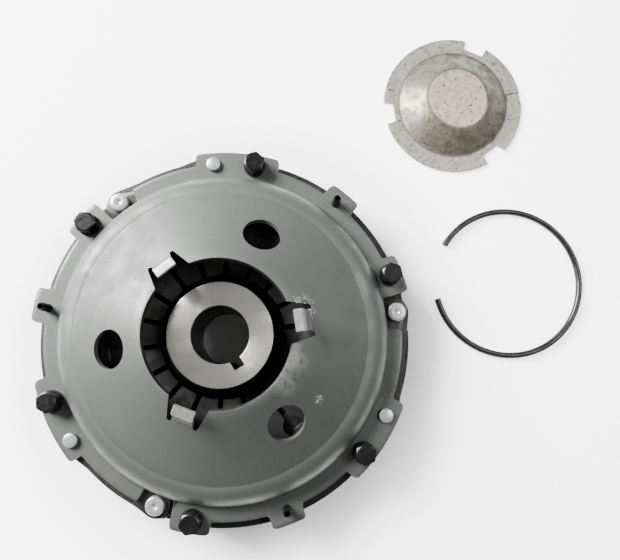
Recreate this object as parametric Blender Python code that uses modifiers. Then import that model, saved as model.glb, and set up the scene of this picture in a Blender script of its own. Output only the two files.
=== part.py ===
"""Dry friction clutch with a pressed conical cover, modelled as its separate pieces.

Units are metres and degrees. The clutch axis is vertical: the flywheel plate lies on the
ground plane, the cover is above it, and the cover's fingers and hub face look up (+Z).
The centre cap and its retaining ring lie beside the clutch, taken off. Once everything is
made, the whole set is moved so that the origin is the centre of its underside.
"""

import math

import bmesh
import bpy
from mathutils import Matrix, Vector

# ---- Clearances ----
GAP = 0.0003  # between pieces that touch
HOLE_PLAY = 0.0003  # radial, round rivets and pins
BOLT_HOLE_PLAY = 0.0006  # radial, round bolts

# ---- Angular layout, repeated three times round the axis ----
SECTORS = 3
LUG_ANGLE = 8.4
BOLT_ANGLES = (20.7, 80.7)
PIN_ANGLE = 50.7
COVER_RIVET_ANGLE = 94.3
TONGUE_ANGLE = 8.7
WINDOW_ANGLE = 67.7

# ---- Friction disc, from the flywheel face upwards ----
DISC_RADIUS = 0.100
FACING_BORE = 0.062
FACING_THICKNESS = 0.0035
CARRIER_THICKNESS = 0.0012
CARRIER_EDGE = 0.001  # by which the facings stand past the carrier
DISC_RIVETS = 6
DISC_RIVET_CIRCLE = 0.046
DISC_RIVET_RADIUS = 0.0028
DISC_RIVET_HEAD = 0.0048
DISC_RIVET_HEAD_HEIGHT = 0.0017

# ---- Flywheel plate ----
FLYWHEEL_RADIUS = 0.1217
FLYWHEEL_WEB = 0.012
FLYWHEEL_BORE = 0.036
RIM_CLEARANCE = 0.004  # between the disc's edge and the rim
RIM_DROP = 0.0077  # from the cover's flange down to the rim between the pads
PAD_RADIUS = 0.0078
LUG_NOTCH_SIDE = 0.0025
LUG_NOTCH_DEPTH = 0.002

# ---- Pressure plate ----
PLATE_LIFT = 0.0012
PLATE_EDGE_THICKNESS = 0.0046
PLATE_EDGE_RADIUS = 0.1015
PLATE_BODY_RADIUS = 0.091
PLATE_BODY_HEIGHT = 0.0126
RIDGE_RADIUS = 0.079
RIDGE_CREST = 0.003
RIDGE_FOOT = 0.010
LUG_THICKNESS = 0.0058
LUG_WIDTH = 0.020
LUG_REACH = 0.121
LUG_ROOT = 0.095
LUG_CORNER = 0.006
LUG_RIVET_CIRCLE = 0.1128

# ---- Drive straps, one pack of two leaves from each lug to the cover ----
STRAP_LEAVES = 2
STRAP_LEAF = 0.0011
STRAP_WIDTH = 0.0175
STRAP_TO_PLATE = 0.0021  # running height of the straps above the plate's edge

# ---- Cover ----
COVER_SHEET = 0.003
BOLT_CIRCLE = 0.115
PIN_CIRCLE = 0.1146
COVER_RIVET_CIRCLE = 0.1148
FLANGE_RECESS_RADIUS = 0.1152
BOLT_TAB_RADIUS = 0.1235
PIN_TAB_RADIUS = 0.1242
WIDE_TAB_RADIUS = 0.1232
LUG_CUTOUT_RADIUS = 0.106
TAB_SHOULDER = 2.2  # degrees over which a tab's side rounds into the recess
OUTLINE_START = 1.3  # keeps the outline's corners off the turned sheet's own edges
WALL_FOOT_RADIUS = 0.105
WALL_HEAD_RADIUS = 0.1005
SHELF_RADIUS = 0.096
SHELF_HEIGHT = 0.0155
CONE_FOOT_RADIUS = 0.0905
COVER_HEIGHT = 0.0412
OPENING_RADIUS = 0.044
WINDOW_CIRCLE = 0.0655
WINDOW_RADIUS = 0.0117
TONGUE_WIDTH = 0.013
TONGUE_SLOT = 0.0031
TONGUE_ROOT_RADIUS = 0.0545
TONGUE_END_RADIUS = 0.045
TONGUE_KNEE_RADIUS = 0.0505
TONGUE_RISE = 0.0485  # height of the tongues above the flange
TONGUE_SHEET = 0.0024
TONGUE_INSET = 0.0002  # by which the bent strip is narrower than its root, each side

# ---- Diaphragm spring ----
FINGERS = 18
FINGER_SLOT_ANGLE = 8.5
SPRING_RADIUS = 0.090
SPRING_TIP_RADIUS = 0.0393
SPRING_THICKNESS = 0.003
SPRING_SLOPE = 7.0
FINGER_SLOT = 0.0034
KEYHOLE_CIRCLE = 0.0705
KEYHOLE_RADIUS = 0.0062

# ---- Hub ----
HUB_BORE = 0.0175
HUB_FACE_RADIUS = 0.0321
HUB_FACE_HEIGHT = 0.0265  # above the cover's flange
HUB_CHAMFER = 0.0008
HUB_NECK_LENGTH = 0.010
HUB_SKIRT_RADIUS = 0.0379
HUB_SKIRT_FOOT = 0.0028  # height of the skirt's foot above the flange
HUB_FLANGE_RADIUS = 0.054
HUB_FLANGE_THICKNESS = 0.005
HUB_BOSS_RADIUS = 0.030
HUB_GROUND_CLEARANCE = 0.003
KEYWAY_WIDTH = 0.0068
KEYWAY_DEPTH = 0.0054
KEYWAY_ANGLE = 301.5
CARRIER_FIT = 0.0005

# ---- Fasteners ----
BOLT_RADIUS = 0.0039
BOLT_ACROSS_FLATS = 0.012
BOLT_HEAD_HEIGHT = 0.0076
BOLT_FOOT_HEIGHT = 0.006
WASHER_RADIUS = 0.0072
WASHER_THICKNESS = 0.0026
WASHER_SPLIT = 0.0014
PIN_RADIUS = 0.0026
PIN_WALL = 0.001
PIN_SPLIT = 0.001
PIN_STAND = 0.0117  # above the flange
PIN_FOOT_HEIGHT = 0.010
COVER_RIVET_RADIUS = 0.0026
COVER_RIVET_HEAD = 0.0046
COVER_RIVET_HEAD_HEIGHT = 0.0028
LUG_RIVET_RADIUS = 0.0036
LUG_RIVET_HEAD = 0.006
LUG_RIVET_HEAD_HEIGHT = 0.0046
RIVET_TAIL_HEIGHT = 0.0018
RIVET_TAIL_EXTRA = 0.0018  # by which a tail is wider than its shank
LUG_COUNTERBORE_PLAY = 0.0008

# ---- Centre cap and its retaining ring, lying beside the clutch ----
CAP_CENTRE = (0.1633, 0.1741)
CAP_RADIUS = 0.0513
CAP_SHEET = 0.002
CAP_DOME_FOOT = 0.0403
CAP_DOME_TOP = 0.0205
CAP_DOME_HEIGHT = 0.0115
CAP_NOTCH_ANGLES = (68.0, 188.0, 308.0)
CAP_NOTCH_WIDTH = 0.0168
CAP_NOTCH_DEPTH = 0.007
CAP_GROOVE_ANGLE = 8.0
CAP_GROOVE_WIDTH = 0.0062
CAP_GROOVE_DEPTH = 0.0007
RING_CENTRE = (0.1983, 0.0409)
RING_RADIUS = 0.0519
RING_WIRE = 0.0022
RING_START = 193.0
RING_SWEEP = 316.0
RING_POINTS = 36

# ---- Roundness ----
LARGE_STEPS = 48
HUB_STEPS = 36
CAP_STEPS = 36
SMALL_STEPS = 10
HOLE_STEPS = 12

# ---- Heights that follow from the stack ----
LOWER_FACING_FOOT = FLYWHEEL_WEB + GAP
CARRIER_FOOT = LOWER_FACING_FOOT + FACING_THICKNESS + GAP
UPPER_FACING_FOOT = CARRIER_FOOT + CARRIER_THICKNESS + GAP
PLATE_FACE = UPPER_FACING_FOOT + FACING_THICKNESS + GAP
PLATE_EDGE_TOP = PLATE_FACE + PLATE_EDGE_THICKNESS
STRAP_FOOT = PLATE_EDGE_TOP + STRAP_TO_PLATE
STRAP_TOP = STRAP_FOOT + STRAP_LEAVES * STRAP_LEAF + (STRAP_LEAVES - 1) * GAP
LUG_TOP = STRAP_FOOT - GAP
LUG_FOOT = LUG_TOP - LUG_THICKNESS
FLANGE_FOOT = STRAP_TOP + GAP
FLANGE_TOP = FLANGE_FOOT + COVER_SHEET
RIM_TOP = FLANGE_FOOT - RIM_DROP
PAD_TOP = FLANGE_FOOT - GAP
SPRING_TOP = FLANGE_TOP + SHELF_HEIGHT - COVER_SHEET - GAP
HUB_FACE = FLANGE_TOP + HUB_FACE_HEIGHT
HUB_FLANGE_FOOT = UPPER_FACING_FOOT
HUB_FLANGE_TOP = HUB_FLANGE_FOOT + HUB_FLANGE_THICKNESS
RIM_BORE = DISC_RADIUS + RIM_CLEARANCE
CUT_PAST = 0.005  # by which a cutter runs past what it cuts


def clear_scene():
    """Removes what the file holds already."""
    for item in list(bpy.data.objects):
        bpy.data.objects.remove(item, do_unlink=True)


def new_collection(name):
    """Returns a new collection linked to the scene."""
    made = bpy.data.collections.new(name)
    bpy.context.scene.collection.children.link(made)
    return made


def new_material(name, color, roughness, metallic):
    """Returns a Principled material."""
    made = bpy.data.materials.new(name)
    made.use_nodes = True
    shader = made.node_tree.nodes["Principled BSDF"]
    shader.inputs["Base Color"].default_value = (*color, 1.0)
    shader.inputs["Roughness"].default_value = roughness
    shader.inputs["Metallic"].default_value = metallic
    return made


def polar(radius, angle):
    """The point at a radius and an angle round the clutch axis."""
    turn = math.radians(angle)
    return (radius * math.cos(turn), radius * math.sin(turn))


def sector_angles(angle):
    """One angle repeated in every sector."""
    return [angle + sector * 360 / SECTORS for sector in range(SECTORS)]


def circle(centre, radius, steps):
    """Corner points of a round outline."""
    return [
        (
            centre[0] + radius * math.cos(math.tau * step / steps),
            centre[1] + radius * math.sin(math.tau * step / steps),
        )
        for step in range(steps)
    ]


def arc(centre, radius, start, end, steps):
    """Points along an arc, both ends included, angles in degrees."""
    angles = [math.radians(start + (end - start) * step / steps) for step in range(steps + 1)]
    return [(centre[0] + radius * math.cos(a), centre[1] + radius * math.sin(a)) for a in angles]


def turn_outline(outline, angle):
    """An outline turned about the clutch axis."""
    cos, sin = math.cos(math.radians(angle)), math.sin(math.radians(angle))
    return [(x * cos - y * sin, x * sin + y * cos) for x, y in outline]


def rounded_block(near, far, half_width, corner):
    """Outline of a block along +X whose far corners are rounded."""
    outline = [(near, -half_width)]
    outline += arc((far - corner, corner - half_width), corner, -90, 0, 3)
    outline += arc((far - corner, half_width - corner), corner, 0, 90, 3)
    return outline + [(near, half_width)]


def add_object(name, data, group, material=None):
    """Links a new object and gives it its material."""
    made = bpy.data.objects.new(name, data)
    group.objects.link(made)
    if material:
        data.materials.clear()
        data.materials.append(material)
    return made


def baked(source):
    """The evaluated mesh of an object, which is then removed."""
    depsgraph = bpy.context.evaluated_depsgraph_get()
    mesh = bpy.data.meshes.new_from_object(source.evaluated_get(depsgraph))
    bpy.data.objects.remove(source, do_unlink=True)
    return mesh


def smooth(mesh):
    """Shades the round sides smooth and keeps the corners sharp."""
    mesh.shade_smooth()
    mesh.set_sharp_from_angle(angle=math.radians(35))


def turned(name, profile, steps, group, material=None, closed=True):
    """A turned shape. The profile is (radius, height) points that run down the outer side."""
    mesh = bpy.data.meshes.new(name)
    edges = [(i, i + 1) for i in range(len(profile) - 1)]
    if closed:
        edges.append((len(profile) - 1, 0))
    mesh.from_pydata([(radius, 0, height) for radius, height in profile], edges, [])
    made = add_object(name, mesh, group, material)
    screw = made.modifiers.new("turn", "SCREW")
    screw.steps = screw.render_steps = steps
    screw.use_merge_vertices = True
    screw.merge_threshold = 0.00001
    return made


def plate(name, outlines, foot, top, group, material=None):
    """A flat solid between two heights. Outlines that lie inside another are its holes."""
    curve = bpy.data.curves.new(name, "CURVE")
    curve.dimensions = "2D"
    curve.fill_mode = "BOTH"
    curve.extrude = (top - foot) / 2
    for outline in outlines:
        spline = curve.splines.new("POLY")
        spline.points.add(len(outline) - 1)
        spline.use_cyclic_u = True
        for point, (x, y) in zip(spline.points, outline):
            point.co = (x, y, 0, 1)
    flat = add_object(name + "_outline", curve, group)
    mesh = baked(flat)
    bpy.data.curves.remove(curve)
    shape = bmesh.new()
    shape.from_mesh(mesh)
    bmesh.ops.remove_doubles(shape, verts=shape.verts, dist=0.000001)
    bmesh.ops.recalc_face_normals(shape, faces=shape.faces)
    bmesh.ops.translate(shape, verts=shape.verts, vec=(0, 0, (foot + top) / 2))
    shape.to_mesh(mesh)
    shape.free()
    mesh.name = name
    return add_object(name, mesh, group, material)


def boolean(target, tool, operation="DIFFERENCE"):
    """Cuts, joins or intersects a piece with a tool, which is hidden."""
    step = target.modifiers.new(tool.name, "BOOLEAN")
    step.operation = operation
    step.solver = "EXACT"
    step.object = tool
    tool.hide_render = True
    tool.display_type = "WIRE"


def merged(name, objects, group):
    """Several tools that don't touch each other, as one."""
    shape = bmesh.new()
    for item in objects:
        mesh = baked_in_place(item)
        shape.from_mesh(mesh)
        bpy.data.meshes.remove(mesh)
    mesh = bpy.data.meshes.new(name)
    shape.to_mesh(mesh)
    shape.free()
    return add_object(name, mesh, group)


def baked_in_place(source):
    """The evaluated mesh of an object with its place applied."""
    bpy.context.view_layer.update()
    place = source.matrix_world.copy()
    mesh = baked(source)
    mesh.transform(place)
    return mesh


def copies(names_and_places, mesh, group, material):
    """One object for each name and place, all sharing a mesh. A place is x, y and a turn."""
    mesh.materials.clear()
    mesh.materials.append(material)
    smooth(mesh)
    made = []
    for name, (x, y, turn) in names_and_places:
        piece = add_object(name, mesh, group)
        piece.location = (x, y, 0)
        piece.rotation_euler = (0, 0, math.radians(turn))
        made.append(piece)
    return made


def cone_height(radius):
    """Height of the cover's conical face at a radius."""
    share = (radius - OPENING_RADIUS) / (CONE_FOOT_RADIUS - OPENING_RADIUS)
    return FLANGE_TOP + COVER_HEIGHT + share * (SHELF_HEIGHT - COVER_HEIGHT)


def cone_slope():
    """Slope of the cover's conical face, in radians."""
    return math.atan2(COVER_HEIGHT - SHELF_HEIGHT, CONE_FOOT_RADIUS - OPENING_RADIUS)


def eased(share):
    """A smooth step from 0 to 1."""
    share = min(1.0, max(0.0, share))
    return share * share * (3 - 2 * share)


def flange_radius(angle):
    """The flange's edge at an angle: tabs stand out of a recess, lug cut-outs go to the wall."""
    angle = (angle - LUG_ANGLE + 60) % 120 - 60 + LUG_ANGLE
    span = 360 / SECTORS
    radius = FLANGE_RECESS_RADIUS
    tabs = (
        (BOLT_ANGLES[0] - 0.4, 6.2, BOLT_TAB_RADIUS),
        (PIN_ANGLE - 0.6, 5.2, PIN_TAB_RADIUS),
        (BOLT_ANGLES[1] + 5.8 - span, 13.4, WIDE_TAB_RADIUS),
    )
    for middle, half, reach in tabs:
        inside = (half - abs(angle - middle)) / TAB_SHOULDER + 0.5
        radius += eased(inside) * (reach - FLANGE_RECESS_RADIUS)
    inside = (6.1 - abs(angle - LUG_ANGLE)) / (TAB_SHOULDER / 3) + 0.5
    return radius + eased(inside) * (LUG_CUTOUT_RADIUS - radius)


def flange_outline():
    """The flange's whole edge, with points close together where it changes."""
    angles = []
    angle = OUTLINE_START
    while angle < OUTLINE_START + 360:
        angles.append(angle)
        step = abs(flange_radius(angle + 1) - flange_radius(angle - 0.5))
        angle += 0.7 if step > 0.0006 else 3.5
    return [polar(flange_radius(angle), angle) for angle in angles]


def offset_path(path, distance):
    """A path moved sideways by a distance, with mitred corners."""
    moved = []
    for index, point in enumerate(path):
        here = Vector(point)
        before = Vector(path[max(index - 1, 0)])
        after = Vector(path[min(index + 1, len(path) - 1)])
        sides = [side.normalized() for side in (here - before, after - here) if side.length > 0]
        normals = [Vector((-side.y, side.x)) for side in sides]
        middle = sum(normals, Vector((0, 0))).normalized()
        moved.append(here + middle * distance / middle.dot(normals[0]))
    return [tuple(point) for point in moved]


def cover_profile():
    """The cover's outer face, from the opening down to the flange's edge."""
    return [
        (OPENING_RADIUS, FLANGE_TOP + COVER_HEIGHT),
        (WINDOW_CIRCLE, cone_height(WINDOW_CIRCLE)),
        (CONE_FOOT_RADIUS, FLANGE_TOP + SHELF_HEIGHT),
        (SHELF_RADIUS, FLANGE_TOP + SHELF_HEIGHT),
        (WALL_HEAD_RADIUS - 0.0013, FLANGE_TOP + SHELF_HEIGHT - 0.0015),
        (WALL_HEAD_RADIUS, FLANGE_TOP + SHELF_HEIGHT - 0.0045),
        (WALL_FOOT_RADIUS, FLANGE_TOP + 0.002),
        (WALL_FOOT_RADIUS + 0.0018, FLANGE_TOP),
        (PIN_TAB_RADIUS + 0.002, FLANGE_TOP),
    ]


def make_tongues(tools):
    """The three bent-up tongues round the opening, as one tool to join to the cover."""
    buried = 0.0005
    path = [
        (radius, cone_height(radius) - buried)
        for radius in (TONGUE_ROOT_RADIUS + 0.004, TONGUE_ROOT_RADIUS - 0.0005)
    ]
    path.append((TONGUE_KNEE_RADIUS, FLANGE_TOP + TONGUE_RISE - 0.001))
    path.append((TONGUE_END_RADIUS, FLANGE_TOP + TONGUE_RISE))
    side = path + offset_path(path, TONGUE_SHEET)[::-1]
    tongues = []
    for angle in sector_angles(TONGUE_ANGLE):
        half = TONGUE_WIDTH / 2 - TONGUE_INSET
        tongue = plate("tongue", [side], -half, half, tools)
        tongue.data.transform(Matrix.Rotation(math.radians(90), 4, "X"))
        tongue.data.transform(Matrix.Rotation(math.radians(angle), 4, "Z"))
        tongues.append(tongue)
    return merged("tongues", tongues, tools)


def make_cover(parts, tools, material):
    """The pressed cover: a turned sheet trimmed to the flange's outline and pierced."""
    cover = turned("clutch_cover", cover_profile(), LARGE_STEPS, parts, material, closed=False)
    sheet = cover.modifiers.new("sheet", "SOLIDIFY")
    sheet.thickness = COVER_SHEET
    sheet.offset = -1
    sheet.use_even_offset = True
    trim = plate("flange_trim", [flange_outline()], 0, FLANGE_TOP * 3, tools)
    boolean(cover, trim, "INTERSECT")

    holes = []
    for angle in BOLT_ANGLES:
        for turn in sector_angles(angle):
            holes.append(circle(polar(BOLT_CIRCLE, turn), BOLT_RADIUS + BOLT_HOLE_PLAY, HOLE_STEPS))
    for turn in sector_angles(PIN_ANGLE):
        holes.append(circle(polar(PIN_CIRCLE, turn), PIN_RADIUS + HOLE_PLAY, HOLE_STEPS))
    for turn in sector_angles(COVER_RIVET_ANGLE):
        centre = polar(COVER_RIVET_CIRCLE, turn)
        holes.append(circle(centre, COVER_RIVET_RADIUS + HOLE_PLAY, HOLE_STEPS))
    half = TONGUE_WIDTH / 2 + TONGUE_SLOT
    for turn in sector_angles(TONGUE_ANGLE):
        slot_end = TONGUE_ROOT_RADIUS + TONGUE_SLOT / 2
        mouth = [
            (OPENING_RADIUS - CUT_PAST * 2, -half - 0.001),
            (slot_end - TONGUE_SLOT, -half),
            (slot_end, -half + TONGUE_SLOT / 2),
            (slot_end, -TONGUE_WIDTH / 2),
            (TONGUE_ROOT_RADIUS - 0.001, -TONGUE_WIDTH / 2),
        ]
        mirrored = [(x, -y) for x, y in reversed(mouth)]
        holes.append(turn_outline(mouth + mirrored, turn))
    boolean(cover, plate("cover_holes", holes, FLANGE_FOOT - CUT_PAST, FLANGE_TOP * 3, tools))

    windows = []
    for turn in sector_angles(WINDOW_ANGLE):
        x, y = polar(WINDOW_CIRCLE, turn)
        bore = plate("window", [circle((0, 0), WINDOW_RADIUS, 24)], -0.012, 0.012, tools)
        bore.data.transform(Matrix.Rotation(cone_slope(), 4, "Y"))
        bore.data.transform(Matrix.Rotation(math.radians(turn), 4, "Z"))
        bore.data.transform(Matrix.Translation((x, y, cone_height(WINDOW_CIRCLE))))
        windows.append(bore)
    boolean(cover, merged("windows", windows, tools))
    boolean(cover, make_tongues(tools), "UNION")


def make_flywheel(parts, tools, material):
    """The flywheel plate with its rim, the pads under the cover's tabs and the lug notches."""
    profile = [
        (RIM_BORE, RIM_TOP),
        (FLYWHEEL_RADIUS, RIM_TOP),
        (FLYWHEEL_RADIUS, 0),
        (FLYWHEEL_BORE, 0),
        (FLYWHEEL_BORE, FLYWHEEL_WEB),
        (RIM_BORE, FLYWHEEL_WEB),
    ]
    flywheel = turned("flywheel_plate", profile, LARGE_STEPS, parts, material)
    seats = [
        (polar(BOLT_CIRCLE, turn), BOLT_RADIUS) for angle in BOLT_ANGLES for turn in sector_angles(angle)
    ]
    seats += [(polar(PIN_CIRCLE, turn), PIN_RADIUS) for turn in sector_angles(PIN_ANGLE)]
    pads = [circle(centre, PAD_RADIUS, HOLE_STEPS) for centre, _ in seats]
    boolean(flywheel, plate("pads", pads, FLYWHEEL_WEB + GAP * 5, PAD_TOP, tools), "UNION")
    bores = [circle(centre, radius + HOLE_PLAY, HOLE_STEPS) for centre, radius in seats]
    boolean(flywheel, plate("bolt_bores", bores, -CUT_PAST, PAD_TOP + CUT_PAST, tools))
    notch_half = LUG_WIDTH / 2 + LUG_NOTCH_SIDE
    notch = rounded_block(RIM_BORE - CUT_PAST, FLYWHEEL_RADIUS + CUT_PAST * 2, notch_half, 0.001)
    notches = [turn_outline(notch, turn) for turn in sector_angles(LUG_ANGLE)]
    floor = PLATE_FACE - LUG_NOTCH_DEPTH
    boolean(flywheel, plate("lug_notches", notches, floor, PAD_TOP + CUT_PAST, tools))


def make_pressure_plate(parts, tools, material):
    """The pressure plate: a ring with the ridge the spring presses on and three lugs."""
    body_top = PLATE_FACE + PLATE_BODY_HEIGHT
    slope = math.radians(SPRING_SLOPE)
    spring_underside = (
        SPRING_TOP
        - (SPRING_RADIUS - RIDGE_RADIUS) * math.tan(slope)
        - SPRING_THICKNESS / math.cos(slope)
    )
    crest = spring_underside - RIDGE_CREST / 2 * math.tan(slope) - GAP
    profile = [
        (RIDGE_RADIUS - RIDGE_CREST / 2, crest),
        (RIDGE_RADIUS + RIDGE_CREST / 2, crest),
        (RIDGE_RADIUS + RIDGE_FOOT / 2, body_top),
        (PLATE_BODY_RADIUS, body_top),
        (PLATE_BODY_RADIUS, PLATE_EDGE_TOP),
        (PLATE_EDGE_RADIUS, PLATE_EDGE_TOP),
        (PLATE_EDGE_RADIUS, PLATE_FACE),
        (FACING_BORE, PLATE_FACE),
        (FACING_BORE, body_top),
        (RIDGE_RADIUS - RIDGE_FOOT / 2, body_top),
    ]
    ring = turned("pressure_plate", profile, LARGE_STEPS, parts, material)
    lug = rounded_block(LUG_ROOT, LUG_REACH, LUG_WIDTH / 2, LUG_CORNER)
    lugs = [turn_outline(lug, turn) for turn in sector_angles(LUG_ANGLE)]
    boolean(ring, plate("lugs", lugs, LUG_FOOT, LUG_TOP, tools), "UNION")
    centres = [polar(LUG_RIVET_CIRCLE, turn) for turn in sector_angles(LUG_ANGLE)]
    bores = [circle(centre, LUG_RIVET_RADIUS + HOLE_PLAY, HOLE_STEPS) for centre in centres]
    boolean(ring, plate("lug_bores", bores, PLATE_FACE, LUG_TOP + CUT_PAST, tools))
    tail = LUG_RIVET_RADIUS + RIVET_TAIL_EXTRA + LUG_COUNTERBORE_PLAY
    sinks = [circle(centre, tail, HOLE_STEPS) for centre in centres]
    sink_top = LUG_FOOT + RIVET_TAIL_HEIGHT + GAP
    boolean(ring, plate("lug_counterbores", sinks, PLATE_FACE - CUT_PAST, sink_top, tools))


def make_spring(parts, tools, material):
    """The diaphragm spring: a shallow cone whose inner part is slit into fingers."""
    slope = math.radians(SPRING_SLOPE)
    drop = (SPRING_RADIUS - SPRING_TIP_RADIUS) * math.tan(slope)
    thick = SPRING_THICKNESS / math.cos(slope)
    profile = [
        (SPRING_TIP_RADIUS, SPRING_TOP - drop),
        (SPRING_RADIUS, SPRING_TOP),
        (SPRING_RADIUS, SPRING_TOP - thick),
        (SPRING_TIP_RADIUS, SPRING_TOP - drop - thick),
    ]
    spring = turned("diaphragm_spring", profile, FINGERS * 3, parts, material)
    entry = math.degrees(math.asin(FINGER_SLOT / 2 / KEYHOLE_RADIUS))
    keyhole = [(SPRING_TIP_RADIUS - CUT_PAST, -FINGER_SLOT / 2)]
    keyhole += arc((KEYHOLE_CIRCLE, 0), KEYHOLE_RADIUS, -180 + entry, 180 - entry, 10)
    keyhole += [(SPRING_TIP_RADIUS - CUT_PAST, FINGER_SLOT / 2)]
    slots = [
        turn_outline(keyhole, FINGER_SLOT_ANGLE + finger * 360 / FINGERS) for finger in range(FINGERS)
    ]
    low = SPRING_TOP - drop - thick - CUT_PAST
    boolean(spring, plate("finger_slots", slots, low, SPRING_TOP + CUT_PAST, tools))


def make_straps(parts, material):
    """The drive straps: leaves from each lug rivet to the cover rivet behind it."""
    lug = Vector(polar(LUG_RIVET_CIRCLE, LUG_ANGLE))
    anchor = Vector(polar(COVER_RIVET_CIRCLE, COVER_RIVET_ANGLE - 360 / SECTORS))
    along = math.degrees(math.atan2(*(anchor - lug).yx))
    outline = arc(lug, STRAP_WIDTH / 2, along + 90, along + 270, 8)
    outline += arc(anchor, STRAP_WIDTH / 2, along - 90, along + 90, 8)
    eyes = [
        circle(lug, LUG_RIVET_RADIUS + HOLE_PLAY, HOLE_STEPS),
        circle(anchor, COVER_RIVET_RADIUS + HOLE_PLAY, HOLE_STEPS),
    ]
    for leaf in range(STRAP_LEAVES):
        foot = STRAP_FOOT + leaf * (STRAP_LEAF + GAP)
        mesh = baked(plate("strap", [outline, *eyes], foot, foot + STRAP_LEAF, parts))
        places = [
            (f"drive_strap_{sector + 1}_{'lower' if leaf == 0 else 'upper'}", (0, 0, sector * 360 / SECTORS))
            for sector in range(SECTORS)
        ]
        copies(places, mesh, parts, material)


def rivet_profile(radius, head, head_foot, head_height, tail, tail_top, tail_height):
    """Half section of a rivet with a cylindrical head and a closed tail."""
    return [
        (0, head_foot + head_height),
        (head, head_foot + head_height),
        (head, head_foot),
        (radius, head_foot),
        (radius, tail_top),
        (tail, tail_top),
        (tail, tail_top - tail_height),
        (0, tail_top - tail_height),
    ]


def ring_places(stem, radius, angles):
    """Numbered names and places round the axis."""
    return [
        (f"{stem}_{index + 1}", (*polar(radius, angle), angle)) for index, angle in enumerate(angles)
    ]


def make_rivets(parts, bright, disc_steel):
    """Rivets of the cover, the lugs and the disc."""
    profile = rivet_profile(
        COVER_RIVET_RADIUS,
        COVER_RIVET_HEAD,
        FLANGE_TOP + GAP,
        COVER_RIVET_HEAD_HEIGHT,
        COVER_RIVET_RADIUS + RIVET_TAIL_EXTRA,
        STRAP_FOOT - GAP,
        RIVET_TAIL_HEIGHT,
    )
    mesh = baked(turned("rivet", profile, SMALL_STEPS, parts, closed=False))
    angles = sector_angles(COVER_RIVET_ANGLE)
    copies(ring_places("cover_rivet", COVER_RIVET_CIRCLE, angles), mesh, parts, bright)

    profile = rivet_profile(
        LUG_RIVET_RADIUS,
        LUG_RIVET_HEAD,
        STRAP_TOP + GAP,
        LUG_RIVET_HEAD_HEIGHT,
        LUG_RIVET_RADIUS + RIVET_TAIL_EXTRA,
        LUG_FOOT + RIVET_TAIL_HEIGHT,
        RIVET_TAIL_HEIGHT,
    )
    mesh = baked(turned("rivet", profile, SMALL_STEPS, parts, closed=False))
    angles = sector_angles(LUG_ANGLE)
    copies(ring_places("lug_rivet", LUG_RIVET_CIRCLE, angles), mesh, parts, bright)

    profile = rivet_profile(
        DISC_RIVET_RADIUS,
        DISC_RIVET_HEAD,
        HUB_FLANGE_TOP + GAP,
        DISC_RIVET_HEAD_HEIGHT,
        DISC_RIVET_HEAD,
        CARRIER_FOOT - GAP,
        DISC_RIVET_HEAD_HEIGHT,
    )
    mesh = baked(turned("rivet", profile, SMALL_STEPS, parts, closed=False))
    angles = [index * 360 / DISC_RIVETS for index in range(DISC_RIVETS)]
    copies(ring_places("disc_rivet", DISC_RIVET_CIRCLE, angles), mesh, parts, disc_steel)


def make_bolts(parts, tools, material):
    """Hexagon bolts through the tabs, each on a split spring washer."""
    seat = FLANGE_TOP + GAP + WASHER_THICKNESS + GAP
    corner = BOLT_ACROSS_FLATS / math.sqrt(3)
    bolt = plate("bolt", [circle((0, 0), corner, 6)], seat, seat + BOLT_HEAD_HEIGHT, parts)
    overlap = BOLT_HEAD_HEIGHT / 2
    shank = [circle((0, 0), BOLT_RADIUS, SMALL_STEPS)]
    boolean(bolt, plate("bolt_shank", shank, BOLT_FOOT_HEIGHT, seat + overlap, tools), "UNION")
    angles = sorted(turn for angle in BOLT_ANGLES for turn in sector_angles(angle))
    copies(ring_places("cover_bolt", BOLT_CIRCLE, angles), baked(bolt), parts, material)

    foot = FLANGE_TOP + GAP
    bore = BOLT_RADIUS + HOLE_PLAY
    reach = math.degrees(math.asin(WASHER_SPLIT / 2 / bore))
    outline = arc((0, 0), WASHER_RADIUS, reach / 2, 360 - reach / 2, HOLE_STEPS)
    outline += arc((0, 0), bore, 360 - reach, reach, HOLE_STEPS)
    washer = plate("washer", [outline], foot, foot + WASHER_THICKNESS, parts)
    copies(ring_places("spring_washer", BOLT_CIRCLE, angles), baked(washer), parts, material)


def make_roll_pins(parts, material):
    """Split hollow pins that locate the cover on the flywheel plate."""
    bore = PIN_RADIUS - PIN_WALL
    reach = math.degrees(math.asin(PIN_SPLIT / 2 / bore))
    outline = arc((0, 0), PIN_RADIUS, reach / 2, 360 - reach / 2, SMALL_STEPS)
    outline += arc((0, 0), bore, 360 - reach, reach, SMALL_STEPS)
    pin = plate("pin", [outline], PIN_FOOT_HEIGHT, FLANGE_TOP + PIN_STAND, parts)
    copies(ring_places("roll_pin", PIN_CIRCLE, sector_angles(PIN_ANGLE)), baked(pin), parts, material)


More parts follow.
